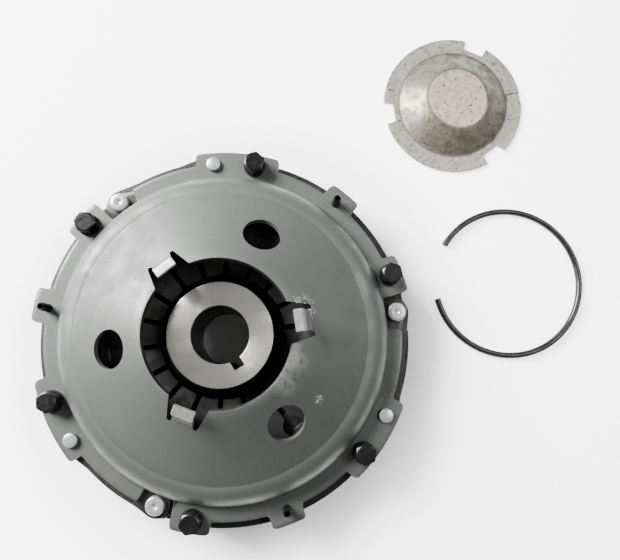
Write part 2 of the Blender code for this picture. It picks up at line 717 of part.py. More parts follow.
def make_hub(parts, tools, material):
    """The driven hub: a bored and keyed sleeve with a flared skirt and a rivet flange."""
    skirt_foot = FLANGE_TOP + HUB_SKIRT_FOOT
    profile = [
        (HUB_BORE, HUB_FACE),
        (HUB_FACE_RADIUS - HUB_CHAMFER, HUB_FACE),
        (HUB_FACE_RADIUS, HUB_FACE - HUB_CHAMFER),
        (HUB_FACE_RADIUS, HUB_FACE - HUB_NECK_LENGTH),
        (HUB_SKIRT_RADIUS, skirt_foot),
        (HUB_SKIRT_RADIUS, HUB_FLANGE_TOP),
        (HUB_FLANGE_RADIUS, HUB_FLANGE_TOP),
        (HUB_FLANGE_RADIUS, HUB_FLANGE_FOOT),
        (HUB_BOSS_RADIUS, HUB_FLANGE_FOOT),
        (HUB_BOSS_RADIUS, HUB_GROUND_CLEARANCE),
        (HUB_BORE, HUB_GROUND_CLEARANCE),
    ]
    hub = turned("drive_hub", profile, HUB_STEPS, parts, material)
    half = KEYWAY_WIDTH / 2
    deep = HUB_BORE + KEYWAY_DEPTH
    near = HUB_BORE / 2
    keyway = turn_outline([(near, -half), (deep, -half), (deep, half), (near, half)], KEYWAY_ANGLE)
    boolean(hub, plate("keyway", [keyway], -CUT_PAST, HUB_FACE + CUT_PAST, tools))
    boolean(hub, disc_rivet_bores("hub_rivet_bores", HUB_FLANGE_FOOT, HUB_FLANGE_TOP, tools))


def disc_rivet_bores(name, foot, top, tools):
    """A tool that cuts the disc's rivet holes between two heights."""
    centres = [polar(DISC_RIVET_CIRCLE, index * 360 / DISC_RIVETS) for index in range(DISC_RIVETS)]
    bores = [circle(centre, DISC_RIVET_RADIUS + HOLE_PLAY, HOLE_STEPS) for centre in centres]
    return plate(name, bores, foot - CUT_PAST, top + CUT_PAST, tools)


def make_disc(parts, tools, carrier_material, facing_material):
    """The friction disc: a carrier plate between two bonded facings."""
    top = CARRIER_FOOT + CARRIER_THICKNESS
    outlines = [
        circle((0, 0), DISC_RADIUS - CARRIER_EDGE, LARGE_STEPS),
        circle((0, 0), HUB_BOSS_RADIUS + CARRIER_FIT, HUB_STEPS),
    ]
    carrier = plate("disc_carrier", outlines, CARRIER_FOOT, top, parts, carrier_material)
    boolean(carrier, disc_rivet_bores("carrier_rivet_bores", CARRIER_FOOT, top, tools))
    for name, foot in (("lower_facing", LOWER_FACING_FOOT), ("upper_facing", UPPER_FACING_FOOT)):
        top = foot + FACING_THICKNESS
        profile = [(FACING_BORE, top), (DISC_RADIUS, top), (DISC_RADIUS, foot), (FACING_BORE, foot)]
        turned(name, profile, LARGE_STEPS, parts, facing_material)


def make_cap(parts, tools, material):
    """The pressed centre cap: a flat-topped dome on a notched rim."""
    top = CAP_DOME_HEIGHT + CAP_SHEET
    outer = [(0, top), (CAP_DOME_TOP, top)]
    for share, drop in ((0.12, 0.06), (0.3, 0.23), (0.9, 0.92)):
        radius = CAP_DOME_TOP + share * (CAP_DOME_FOOT - CAP_DOME_TOP)
        outer.append((radius, CAP_SHEET + CAP_DOME_HEIGHT * (1 - drop)))
    outer += [(CAP_DOME_FOOT, CAP_SHEET), (CAP_RADIUS, CAP_SHEET)]
    inner = [(radius, height - CAP_SHEET) for radius, height in reversed(outer)]
    cap = turned("centre_cap", outer + inner, CAP_STEPS, parts, material, closed=False)
    half = CAP_NOTCH_WIDTH / 2
    near, far = CAP_RADIUS - CAP_NOTCH_DEPTH, CAP_RADIUS + CUT_PAST
    notch = [(near, -half), (far, -half), (far, half), (near, half)]
    notches = [turn_outline(notch, angle) for angle in CAP_NOTCH_ANGLES]
    boolean(cap, plate("cap_notches", notches, -CUT_PAST, CAP_SHEET + CUT_PAST, tools))
    half = CAP_GROOVE_WIDTH / 2
    groove = turn_outline([(near, -half), (far, -half), (far, half), (near, half)], CAP_GROOVE_ANGLE)
    floor = CAP_SHEET - CAP_GROOVE_DEPTH
    boolean(cap, plate("cap_groove", [groove], floor, CAP_SHEET + CUT_PAST, tools))
    for item in (cap, tools.objects["cap_notches"], tools.objects["cap_groove"]):
        item.location = (*CAP_CENTRE, 0)


def make_retaining_ring(parts, material):
    """The open wire ring that holds the cap under the cover's tongues."""
    curve = bpy.data.curves.new("ring", "CURVE")
    curve.dimensions = "3D"
    curve.bevel_depth = RING_WIRE
    curve.bevel_resolution = 2
    curve.use_fill_caps = True
    spline = curve.splines.new("POLY")
    points = arc((0, 0), RING_RADIUS, RING_START, RING_START + RING_SWEEP, RING_POINTS)
    spline.points.add(len(points) - 1)
    for point, (x, y) in zip(spline.points, points):
        point.co = (x, y, RING_WIRE, 1)
    mesh = baked(add_object("ring_wire", curve, parts))
    bpy.data.curves.remove(curve)
    wire = bmesh.new()
    wire.from_mesh(mesh)
    bmesh.ops.remove_doubles(wire, verts=wire.verts, dist=0.00001)
    bmesh.ops.recalc_face_normals(wire, faces=wire.faces)
    wire.to_mesh(mesh)
    wire.free()
    smooth(mesh)
    ring = add_object("cap_retaining_ring", mesh, parts, material)
    ring.location = (*RING_CENTRE, 0)


def centre_on_origin(parts, tools):
    """Moves the whole set so that the origin is the centre of its underside."""
    anchor = bpy.data.objects.new("clutch_set", None)
    parts.objects.link(anchor)
    for item in [*parts.objects, *tools.objects]:
        if item is not anchor:
            item.parent = anchor
    bpy.context.view_layer.update()
    depsgraph = bpy.context.evaluated_depsgraph_get()
    corners = []
    for item in parts.objects:
        if item.type in ("MESH", "CURVE"):
            solid = item.evaluated_get(depsgraph)
            corners += [solid.matrix_world @ Vector(corner) for corner in solid.bound_box]
    low = [min(corner[axis] for corner in corners) for axis in range(3)]
    high = [max(corner[axis] for corner in corners) for axis in range(3)]
    anchor.location = (-(low[0] + high[0]) / 2, -(low[1] + high[1]) / 2, -low[2])


def main():
    """Builds the whole clutch set."""
    clear_scene()
    parts = new_collection("friction_clutch")
    tools = new_collection("cutters")
    grey = new_material("phosphated_cover", (0.36, 0.37, 0.35), 0.5, 0.4)
    iron = new_material("cast_iron", (0.045, 0.04, 0.04), 0.6, 0.5)
    spring_steel = new_material("spring_steel", (0.03, 0.03, 0.03), 0.45, 0.8)
    strap_steel = new_material("strap_steel", (0.07, 0.055, 0.05), 0.5, 0.7)
    black = new_material("black_oxide", (0.02, 0.02, 0.02), 0.4, 0.7)
    bright = new_material("zinc_plate", (0.75, 0.77, 0.77), 0.3, 1.0)
    machined = new_material("machined_steel", (0.55, 0.54, 0.5), 0.3, 1.0)
    friction = new_material("friction_lining", (0.12, 0.09, 0.07), 0.9, 0.0)
    aged = new_material("aged_steel", (0.5, 0.47, 0.42), 0.45, 0.8)

    make_flywheel(parts, tools, iron)
    make_disc(parts, tools, strap_steel, friction)
    make_hub(parts, tools, machined)
    make_pressure_plate(parts, tools, iron)
    make_straps(parts, strap_steel)
    make_spring(parts, tools, spring_steel)
    make_cover(parts, tools, grey)
    make_rivets(parts, bright, strap_steel)
    make_bolts(parts, tools, black)
    make_roll_pins(parts, black)
    make_cap(parts, tools, aged)
    make_retaining_ring(parts, spring_steel)
    centre_on_origin(parts, tools)


main()
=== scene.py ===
"""Looks of a dry friction clutch with a pressed conical cover, its centre cap and wire ring.

Every fine mesh is made in the clutch's own frame, whose axis is +Z, and is then moved to
where the solid model has it. Lengths are metres and angles are degrees.
"""

from __future__ import annotations

import logging
import math
from dataclasses import dataclass
from enum import Enum
from typing import Any, Callable, Sequence

import bmesh
import bpy
import numpy as np
from mathutils import Matrix, Vector

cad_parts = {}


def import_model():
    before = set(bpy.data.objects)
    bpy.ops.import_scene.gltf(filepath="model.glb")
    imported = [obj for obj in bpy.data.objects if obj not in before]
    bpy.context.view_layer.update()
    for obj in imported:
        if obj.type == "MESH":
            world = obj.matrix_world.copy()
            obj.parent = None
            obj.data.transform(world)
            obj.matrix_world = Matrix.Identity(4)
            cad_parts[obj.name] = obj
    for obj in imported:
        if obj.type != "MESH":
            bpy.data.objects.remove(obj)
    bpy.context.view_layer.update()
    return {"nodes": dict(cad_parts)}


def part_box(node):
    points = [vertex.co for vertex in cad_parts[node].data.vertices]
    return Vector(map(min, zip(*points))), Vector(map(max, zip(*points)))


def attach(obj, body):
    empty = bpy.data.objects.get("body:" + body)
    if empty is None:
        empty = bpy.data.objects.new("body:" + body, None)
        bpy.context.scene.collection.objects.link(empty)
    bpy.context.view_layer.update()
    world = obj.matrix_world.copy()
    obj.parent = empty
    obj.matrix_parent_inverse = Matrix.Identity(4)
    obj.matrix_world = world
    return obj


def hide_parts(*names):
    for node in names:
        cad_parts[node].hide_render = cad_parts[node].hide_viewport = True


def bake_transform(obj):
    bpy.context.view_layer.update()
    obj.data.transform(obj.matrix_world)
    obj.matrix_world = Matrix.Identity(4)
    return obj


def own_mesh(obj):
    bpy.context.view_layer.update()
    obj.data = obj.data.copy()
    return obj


LOG = logging.getLogger("clutch")
SEAM_WELD = 2e-6  # points closer than this in a new mesh are one point
CUT_WELD = 1e-6  # the same, after a cut
SECTORS = 3
SECTOR_TURN = 360 / SECTORS
GAP = 0.0003  # clearance between pieces that are fastened together

Point = tuple[float, float]
Triple = tuple[float, float, float]
Profile = list[Point]
Mesh = bpy.types.Mesh
Material = bpy.types.Material
Node = bpy.types.ShaderNode
Socket = bpy.types.NodeSocket


class Body(str, Enum):
    """The bodies that pieces ride on."""

    COVER = "cover_assembly"
    PRESSURE = "pressure_assembly"
    DISC = "friction_disc"
    CAP = "centre_cap"
    RING = "retaining_ring"


class Slot(str, Enum):
    """The record's material slots."""

    PHOSPHATE = "phosphate_grey"
    BLACK_IRON = "cast_iron_black"
    BROWN_IRON = "cast_iron_brown"
    SPRING = "spring_steel"
    STRAP = "strap_steel"
    OXIDE = "black_oxide"
    ZINC = "zinc_plate"
    TURNED = "machined_steel"
    LINING = "friction_lining"
    AGED = "aged_steel"
    WIRE = "ring_steel"


# ---------------------------------------------------------------- geometry helpers


def sectors(angle: float) -> list[float]:
    """One angle repeated in every sector."""
    return [angle + sector * SECTOR_TURN for sector in range(SECTORS)]


def polar(radius: float, angle: float) -> Point:
    """The point at a radius and an angle round the axis."""
    turn = math.radians(angle)
    return radius * math.cos(turn), radius * math.sin(turn)


def ease(share: np.ndarray) -> np.ndarray:
    """A smooth step from 0 to 1."""
    share = np.clip(share, 0.0, 1.0)
    return share * share * (3 - 2 * share)


def fillet(profile: Profile, radius: float, closed: bool = True, steps: int = 3) -> Profile:
    """Rounds the corners of a profile.

    Args:
        profile: Corner points.
        radius: Distance from each corner at which its curve starts.
        closed: Whether the last point joins the first.
        steps: Segments in each curve.

    Returns:
        The rounded profile. A corner on the axis stays as it is.
    """
    count = len(profile)
    rounded: Profile = []
    for index, point in enumerate(profile):
        ends = not closed and index in (0, count - 1)
        if ends or point[0] == 0:
            rounded.append(point)
            continue
        here = Vector(point)
        before = Vector(profile[index - 1]) - here
        after = Vector(profile[(index + 1) % count]) - here
        start = here + before.normalized() * min(radius, before.length * 0.45)
        end = here + after.normalized() * min(radius, after.length * 0.45)
        for step in range(steps + 1):
            t = step / steps
            rounded.append(tuple((1 - t) ** 2 * start + 2 * t * (1 - t) * here + t * t * end))
    return rounded


@dataclass(frozen=True)
class Grid:
    """A surface given by rows and columns of points."""

    points: np.ndarray
    wrap_rows: bool = True
    wrap_columns: bool = True

    def faces(self) -> np.ndarray:
        """The four corner indices of every face."""
        rows, columns = self.points.shape[:2]
        i, j = self._cells()
        after_i, after_j = (i + 1) % rows, (j + 1) % columns
        corners = (i * columns + j, i * columns + after_j)
        corners += (after_i * columns + after_j, after_i * columns + j)
        return np.stack([corner.ravel() for corner in corners], axis=1)

    def corner_uv(self) -> np.ndarray:
        """The UV of every face corner: u runs along the columns, v along the rows."""
        rows, columns = self.points.shape[:2]
        i, j = (index.ravel() for index in self._cells())
        u = np.stack([j, j + 1, j + 1, j], axis=1) / columns
        v = np.stack([i, i, i + 1, i + 1], axis=1) / rows
        return np.stack([u, v], axis=2)

    def _cells(self) -> tuple[np.ndarray, np.ndarray]:
        """Row and column of every cell."""
        rows, columns = self.points.shape[:2]
        return np.meshgrid(
            np.arange(rows if self.wrap_rows else rows - 1),
            np.arange(columns if self.wrap_columns else columns - 1),
            indexing="ij",
        )


def around_axis(radius: np.ndarray, turn: np.ndarray, height: np.ndarray) -> np.ndarray:
    """Points from radii, angles in radians and heights."""
    x, y = radius * np.cos(turn), radius * np.sin(turn)
    return np.stack(np.broadcast_arrays(x, y, height), axis=2)


def lathe(profile: Profile, columns: int, closed: bool = True) -> Grid:
    """A profile of (radius, height) turned round the axis."""
    radius, height = np.array(profile).T[:, :, None]
    turn = np.linspace(0, math.tau, columns, endpoint=False)
    return Grid(around_axis(radius, turn, height), wrap_rows=closed)


def part_ring(profile: Profile, start: float, end: float, columns: int) -> Grid:
    """A closed profile of (radius, height) swept from one angle to another."""
    radius, height = np.array(profile).T[:, :, None]
    turn = np.radians(np.linspace(start, end, columns))
    return Grid(around_axis(radius, turn, height), wrap_columns=False)


def prism(outline: Sequence[Point], foot: float, top: float, bevel: float = 0) -> Grid:
    """An upright solid over a star-shaped outline, its edges bevelled.

    Args:
        outline: Points round the outline.
        foot: Lower height.
        top: Upper height.
        bevel: Size of the rounded edges.
    """
    edge = np.array(outline)
    middle = edge.mean(axis=0)
    reach = np.linalg.norm(edge - middle, axis=1, keepdims=True)
    rows = []
    shoulder = bevel * 0.3
    for inset, height in (
        (None, foot),
        (bevel, foot),
        (shoulder, foot + shoulder),
        (0, foot + bevel),
        (0, top - bevel),
        (shoulder, top - shoulder),
        (bevel, top),
        (None, top),
    ):
        share = np.zeros_like(reach) if inset is None else 1 - inset / reach
        flat = middle + (edge - middle) * share
        rows.append(np.column_stack([flat, np.full(len(flat), height)]))
    return Grid(np.stack(rows), wrap_rows=False)


def disc_outline(centre: Point, radius: float, count: int = 48) -> np.ndarray:
    """Points round a circle."""
    turn = np.linspace(0, math.tau, count, endpoint=False)
    return np.column_stack([centre[0] + radius * np.cos(turn), centre[1] + radius * np.sin(turn)])


def stadium(start: Vector, end: Vector, radius: float, count: int = 24) -> np.ndarray:
    """Outline of a strip with round ends between two centres."""
    along = math.atan2(end.y - start.y, end.x - start.x)
    near = np.linspace(along + math.pi / 2, along + math.pi * 1.5, count)
    far = np.linspace(along - math.pi / 2, along + math.pi / 2, count)
    return np.concatenate(
        [
            np.column_stack([c.x + radius * np.cos(t), c.y + radius * np.sin(t)])
            for c, t in ((start, near), (end, far))
        ]
    )


def turned_outline(outline: np.ndarray, angle: float) -> np.ndarray:
    """An outline turned about the axis."""
    cos, sin = math.cos(math.radians(angle)), math.sin(math.radians(angle))
    return outline @ np.array([[cos, sin], [-sin, cos]])


def prisms(
    outline: np.ndarray, angles: Sequence[float], foot: float, top: float, bevel: float = 0
) -> list[Grid]:
    """One upright solid repeated at several angles round the axis."""
    return [prism(turned_outline(outline, angle), foot, top, bevel) for angle in angles]


def posts(
    circle: float,
    angles: Sequence[float],
    radius: float,
    foot: float,
    top: float,
    bevel: float = 0,
) -> list[Grid]:
    """Round posts on a circle about the axis, at these angles."""
    return [prism(disc_outline(polar(circle, a), radius), foot, top, bevel) for a in angles]


def shift_to(circle: float, angle: float) -> Matrix:
    """The move from the axis to a place on a circle."""
    return Matrix.Translation((*polar(circle, angle), 0))


def mesh_of(name: str, grids: Sequence[Grid]) -> Mesh:
    """Joins grids into one mesh with outward faces and filled ends."""
    offset = 0
    points, faces, uv = [], [], []
    for grid in grids:
        flat = grid.points.reshape(-1, 3)
        points.append(flat)
        faces.append(grid.faces() + offset)
        uv.append(grid.corner_uv().reshape(-1, 2))
        offset += len(flat)
    mesh = bpy.data.meshes.new(name)
    mesh.from_pydata(np.concatenate(points).tolist(), [], np.concatenate(faces).tolist())
    layer = mesh.uv_layers.new(name="UVMap")
    layer.data.foreach_set("uv", np.concatenate(uv).ravel())
    shape = bmesh.new()
    shape.from_mesh(mesh)
    bmesh.ops.remove_doubles(shape, verts=shape.verts, dist=SEAM_WELD)
    bmesh.ops.holes_fill(shape, edges=shape.edges, sides=0)
    bmesh.ops.recalc_face_normals(shape, faces=shape.faces)
    shape.to_mesh(mesh)
    shape.free()
    return mesh


def add_object(name: str, data: bpy.types.ID) -> bpy.types.Object:
    """Links a new object that holds a mesh, a light or a camera."""
    made = bpy.data.objects.new(name, data)
    bpy.context.scene.collection.objects.link(made)
    return made


def combined(
    base: Mesh, tool_name: str, grids: Sequence[Grid], operation: str = "DIFFERENCE"
) -> Mesh:
    """A mesh cut by, or joined with, closed shapes.

    Args:
        base: The mesh that is changed. It is removed at the end.
        tool_name: Name of the shapes' own mesh, while it lasts.
        grids: The shapes. They must not overlap each other, or the overlap is left uncut.
        operation: DIFFERENCE or UNION.
    """
    tool = mesh_of(tool_name, grids)
    name = base.name
    target, cutter = add_object(name, base), add_object(name + "_tool", tool)
    step = target.modifiers.new("boolean", "BOOLEAN")
    step.object, step.operation, step.solver = cutter, operation, "MANIFOLD"
    depsgraph = bpy.context.evaluated_depsgraph_get()
    made = bpy.data.meshes.new_from_object(target.evaluated_get(depsgraph))
    for item in (target, cutter):
        bpy.data.objects.remove(item, do_unlink=True)
    for mesh in (base, tool):
        bpy.data.meshes.remove(mesh)
    tidy = bmesh.new()
    tidy.from_mesh(made)
    bmesh.ops.remove_doubles(tidy, verts=tidy.verts, dist=CUT_WELD)
    bmesh.ops.dissolve_degenerate(tidy, edges=tidy.edges, dist=CUT_WELD)
    tidy.to_mesh(made)
    tidy.free()
    made.name = name
    return made


# ---------------------------------------------------------------- finishes


class Graph:
    """Builds a Principled material node by node."""

    def __init__(self, name: str) -> None:
        """Starts a material that holds only its shader and output."""
        self.material = bpy.data.materials.new(name)
        self.material.use_nodes = True
        self.tree = self.material.node_tree
        self.shader = self.tree.nodes["Principled BSDF"]

    def add(self, kind: str, inputs: dict[Any, Any] | None = None, **settings: Any) -> Node:
        """Adds a node.

        Args:
            kind: The node's type.
            inputs: Values or sockets by input name or index.
            settings: Attributes of the node.
        """
        node = self.tree.nodes.new(kind)
        for key, value in settings.items():
            setattr(node, key, value)
        for key, value in (inputs or {}).items():
            self.put(node.inputs[key], value)
        return node

    def put(self, socket: Socket, value: Any) -> None:
        """Links a socket to an input, or sets its value."""
        if isinstance(value, Socket):
            self.tree.links.new(value, socket)
        else:
            socket.default_value = value

    def place(self, centre: Vector, scale: Triple = (1, 1, 1)) -> Socket:
        """Object coordinates measured from a centre."""
        coords = self.add("ShaderNodeTexCoord").outputs["Object"]
        mapping = {"Vector": coords, "Location": tuple(-c * s for c, s in zip(centre, scale))}
        return self.add("ShaderNodeMapping", {**mapping, "Scale": scale}).outputs[0]

    def noise(self, where: Socket, scale: float, detail: float = 4, rough: float = 0.55) -> Socket:
        """A noise pattern, in waves per metre."""
        inputs = {"Vector": where, "Scale": scale, "Detail": detail, "Roughness": rough}
        return self.add("ShaderNodeTexNoise", inputs).outputs["Fac"]

    def patches(
        self,
        where: Socket,
        scale: float,
        low: float,
        high: float,
        most: float = 1,
        detail: float = 4,
        rough: float = 0.55,
    ) -> Socket:
        """Patches of noise: none below one level, the most above the other."""
        return self.step(self.noise(where, scale, detail, rough), low, high, (0, most))

    def step(self, value: Socket, low: float, high: float, to: Point = (0, 1)) -> Socket:
        """Maps a range smoothly to another, clamped."""
        inputs = {0: value, 1: low, 2: high, 3: to[0], 4: to[1]}
        return self.add("ShaderNodeMapRange", inputs, interpolation_type="SMOOTHSTEP").outputs[0]

    def math(self, operation: str, first: Any, second: Any = 0.0) -> Socket:
        """A maths node."""
        return self.add("ShaderNodeMath", {0: first, 1: second}, operation=operation).outputs[0]

    def mix(self, share: Any, first: Any, second: Any) -> Socket:
        """Mixes two colours."""
        node = self.add("ShaderNodeMix", data_type="RGBA")
        self.put(node.inputs[0], share)
        self.put(node.inputs[6], rgba(first))
        self.put(node.inputs[7], rgba(second))
        return node.outputs[2]

    def near(self, where: Socket, spot: Triple, reach: float) -> Socket:
        """One at a spot, falling to zero at a distance from it."""
        inputs = {0: where, 1: spot}
        gap = self.add("ShaderNodeVectorMath", inputs, operation="DISTANCE").outputs["Value"]
        return self.step(gap, 0.0, reach, (1, 0))

    def radius(self, where: Socket) -> Socket:
        """Distance from the axis through the centre."""
        flat = self.add("ShaderNodeVectorMath", {0: where, 1: (1, 1, 0)}, operation="MULTIPLY")
        inputs = {0: flat.outputs[0]}
        return self.add("ShaderNodeVectorMath", inputs, operation="LENGTH").outputs["Value"]

    def bump(self, height: Socket, strength: float, distance: float) -> None:
        """Gives the shader a bumpy surface."""
        inputs = {"Height": height, "Strength": strength, "Distance": distance}
        self.put(self.shader.inputs["Normal"], self.add("ShaderNodeBump", inputs).outputs[0])

    def finish(self, color: Any, roughness: Any, metallic: Any) -> Material:
        """Sets the shader's main inputs and returns the material."""
        self.put(self.shader.inputs["Base Color"], rgba(color))
        self.put(self.shader.inputs["Roughness"], roughness)
        self.put(self.shader.inputs["Metallic"], metallic)
        return self.material


def rgba(color: Any) -> Any:
    """A colour with its alpha; a socket is passed on."""
    return (*color, 1.0) if isinstance(color, tuple) and len(color) == 3 else color


@dataclass(frozen=True)
class Metal:
    """A metal whose tone varies with broad stains and fine specks, and which can be painted near
    black as shade inside a radius.
    """

    name: str
    color: Triple
    stain: Triple
    roughness: float = 0.4
    metallic: float = 0.7
    stain_scale: float = 60.0
    stain_share: float = 0.5
    grain_scale: float = 900.0
    bump: float = 0.15
    gloss: float = 0.5
    painted_shade_within: float = 0.0
    shadow: Triple = (0.004, 0.004, 0.004)

    def material(self, centre: Vector) -> Material:
        """Makes the material for a piece with this centre."""
        graph = Graph(self.name)
        where = graph.place(centre)
        stains = graph.patches(where, self.stain_scale, 0.42, 0.62, self.stain_share)
        grain = graph.noise(where, self.grain_scale, 3)
        color = graph.mix(stains, self.color, self.stain)
        # Inside the given radius the colour fades to near black: painted shade under the cover.
        if self.painted_shade_within:
            edge = self.painted_shade_within
            inner = graph.step(graph.radius(where), edge - 0.002, edge, (0.85, 0))
            color = graph.mix(inner, color, self.shadow)
        spread = (self.roughness * 0.8, self.roughness * 1.2)
        rough = graph.step(graph.noise(where, self.stain_scale * 3), 0.3, 0.7, spread)
        graph.bump(grain, self.bump, 0.0002)
        graph.put(graph.shader.inputs["Specular IOR Level"], self.gloss)
        return graph.finish(color, rough, self.metallic)


@dataclass(frozen=True)
class PhosphateFinish:
    """Grey phosphated sheet, with a rubbed patch and chips by one tongue, and painted shade on the
    walls of the mouth and slots.
    """

    name: str = "phosphate_grey"
    light: Triple = (0.063, 0.068, 0.063)
    dark: Triple = (0.047, 0.051, 0.047)
    rubbed: Triple = (0.14, 0.144, 0.136)
    flaking: Triple = (0.04, 0.04, 0.04)
    bare: Triple = (0.5, 0.51, 0.49)
    # Near black for the walls of the mouth and slots: painted shade.
    cut: Triple = (0.006, 0.006, 0.006)
    edge_shade_reach: float = 0.0570

    def material(self, centre: Vector, spot: Callable[[float, float], Vector]) -> Material:
        """Makes the material.

        Args:
            centre: A point on the cover's axis.
            spot: Gives the point of the cone at a radius and an angle, from that centre.
        """
        graph = Graph(self.name)
        where = graph.place(centre)
        mottle = graph.patches(where, 45, 0.35, 0.68, detail=6, rough=0.6)
        color = graph.mix(mottle, self.light, self.dark)
        fine = graph.patches(where, 700, 0.52, 0.72, 0.35, detail=3)
        color = graph.mix(fine, color, self.dark)
        streak = graph.noise(where, 240, 5, 0.65)
        rub = graph.near(where, tuple(spot(0.048, 340)), 0.013)
        rub = graph.math("MAXIMUM", rub, graph.near(where, tuple(spot(0.049, 325)), 0.012))
        rub = graph.math("MULTIPLY", rub, graph.step(streak, 0.34, 0.56))
        color = graph.mix(rub, color, self.rubbed)
        chips = graph.near(where, tuple(spot(0.0505, 17)), 0.009)
        chips = graph.math("MULTIPLY", chips, graph.patches(where, 520, 0.47, 0.5))
        color = graph.mix(chips, color, self.flaking)
        flecks = graph.near(where, tuple(spot(0.0515, 17)), 0.011)
        flecks = graph.math("MAXIMUM", flecks, graph.near(where, tuple(spot(0.070, 327)), 0.004))
        flecks = graph.math("MULTIPLY", flecks, graph.patches(where, 700, 0.54, 0.57, detail=3))
        color = graph.mix(flecks, color, self.bare)
        # The walls of the mouth and slots lie below the cone's own straight line; they are painted
        # near black as shade.
        near, far = spot(0.045, 0).z, spot(0.055, 0).z
        fall = (near - far) / 0.010
        radius = graph.radius(where)
        height = graph.add("ShaderNodeSeparateXYZ", {0: where}).outputs["Z"]
        line = graph.math("SUBTRACT", near + fall * 0.045, graph.math("MULTIPLY", radius, fall))
        depth = graph.math("SUBTRACT", line, height)
        edge_shade_mask = graph.math(
            "MULTIPLY",
            graph.step(depth, 0.0003, 0.0006),
            graph.step(radius, self.edge_shade_reach - 0.001, self.edge_shade_reach, (1, 0)),
        )
        color = graph.mix(edge_shade_mask, color, self.cut)
        graph.bump(graph.noise(where, 520, 5), 0.22, 0.0003)
        rough = graph.step(mottle, 0, 1, (0.42, 0.58))
        return graph.finish(color, rough, 0.45)


@dataclass(frozen=True)
class TongueFinish:
    """Grey sheet with a painted highlight on the free end, past the knee, broken by darker scuffs.
    """

    knee: float
    name: str = "phosphate_highlit_tongue"
    bright: Triple = (0.20, 0.205, 0.195)
    scuffed: Triple = (0.10, 0.103, 0.097)
    grey: Triple = (0.063, 0.068, 0.063)

    def material(self, centre: Vector) -> Material:
        """Makes the material for tongues round this centre."""
        graph = Graph(self.name)
        where = graph.place(centre)
        scuff = graph.patches(where, 160, 0.42, 0.62, 0.6)
        # The free end is painted bright as a highlight, with darker scuffs; the riser keeps the
        # sheet's grey.
        color = graph.mix(scuff, self.bright, self.scuffed)
        riser = graph.step(graph.radius(where), self.knee - 0.0004, self.knee + 0.0008)
        color = graph.mix(riser, color, self.grey)
        graph.bump(graph.noise(where, 700, 3), 0.2, 0.0002)
        return graph.finish(color, 0.42, 0.5)


@dataclass(frozen=True)
class SpringFinish:
    """Spring steel painted near black as shade under the cover, and dusty grey on the bare fingers.
    """

    name: str = "spring_steel"
    under_cover_shade: Triple = (0.0018, 0.0018, 0.0018)
    dusty: Triple = (0.024, 0.024, 0.022)
    worn: Triple = (0.006, 0.006, 0.006)
    finger_reach: float = 0.052

    def material(self, centre: Vector) -> Material:
        """Makes the material for a spring round this centre."""
        graph = Graph(self.name)
        where = graph.place(centre)
        dust = graph.patches(where, 70, 0.44, 0.58, detail=5, rough=0.6)
        fingers = graph.mix(dust, self.worn, self.dusty)
        # Past the fingers' reach, under the cover, the spring is painted near black as shade.
        under = graph.step(graph.radius(where), self.finger_reach, self.finger_reach + 0.004)
        color = graph.mix(under, fingers, self.under_cover_shade)
        graph.bump(graph.noise(where, 600, 3), 0.15, 0.0002)
        graph.put(graph.shader.inputs["Specular IOR Level"], 0.2)
        return graph.finish(color, 0.45, 0.0)


@dataclass(frozen=True)
class TurnedFinish:
    """Bright turned steel: fine rings whose glint fans out from the axis."""

    name: str = "machined_steel"
    color: Triple = (0.36, 0.355, 0.325)
    tarnish: Triple = (0.16, 0.135, 0.11)
    # dark: the tone of the turned rings, and painted shade below the end face.
    dark: Triple = (0.015, 0.015, 0.015)

    def material(self, centre: Vector, face_height: float) -> Material:
        """Makes the material.

        Args:
            centre: A point on the hub's axis, at height zero.
            face_height: Height of the bright end face; what lies lower is painted dark as shade.
        """
        graph = Graph(self.name)
        where = graph.place(centre)
        radius = graph.radius(where)
        rings = graph.add(
            "ShaderNodeTexNoise",
            {"W": graph.math("MULTIPLY", radius, 4200.0), "Scale": 1.0, "Detail": 2.0},
            noise_dimensions="1D",
        ).outputs["Fac"]
        tarnish = graph.patches(where, 90, 0.5, 0.72, 0.5, detail=5)
        color = graph.mix(tarnish, self.color, self.tarnish)
        color = graph.mix(graph.step(rings, 0.35, 0.65, (0, 0.18)), color, self.dark)
        height = graph.add("ShaderNodeSeparateXYZ", {0: where}).outputs["Z"]
        # Below the end face the bore and skirt are painted near black as shade.
        low = graph.step(height, face_height - 0.004, face_height - 0.0006, (1, 0))
        color = graph.mix(graph.math("MULTIPLY", low, 0.95), color, self.dark)
        graph.bump(rings, 0.12, 0.0001)
        tangent = graph.add("ShaderNodeTangent", direction_type="UV_MAP", uv_map="UVMap")
        graph.put(graph.shader.inputs["Tangent"], tangent.outputs[0])
        graph.put(graph.shader.inputs["Anisotropic"], 0.85)
        graph.put(graph.shader.inputs["Anisotropic Rotation"], 0.25)
        return graph.finish(color, graph.step(tarnish, 0, 0.5, (0.26, 0.42)), 0.86)


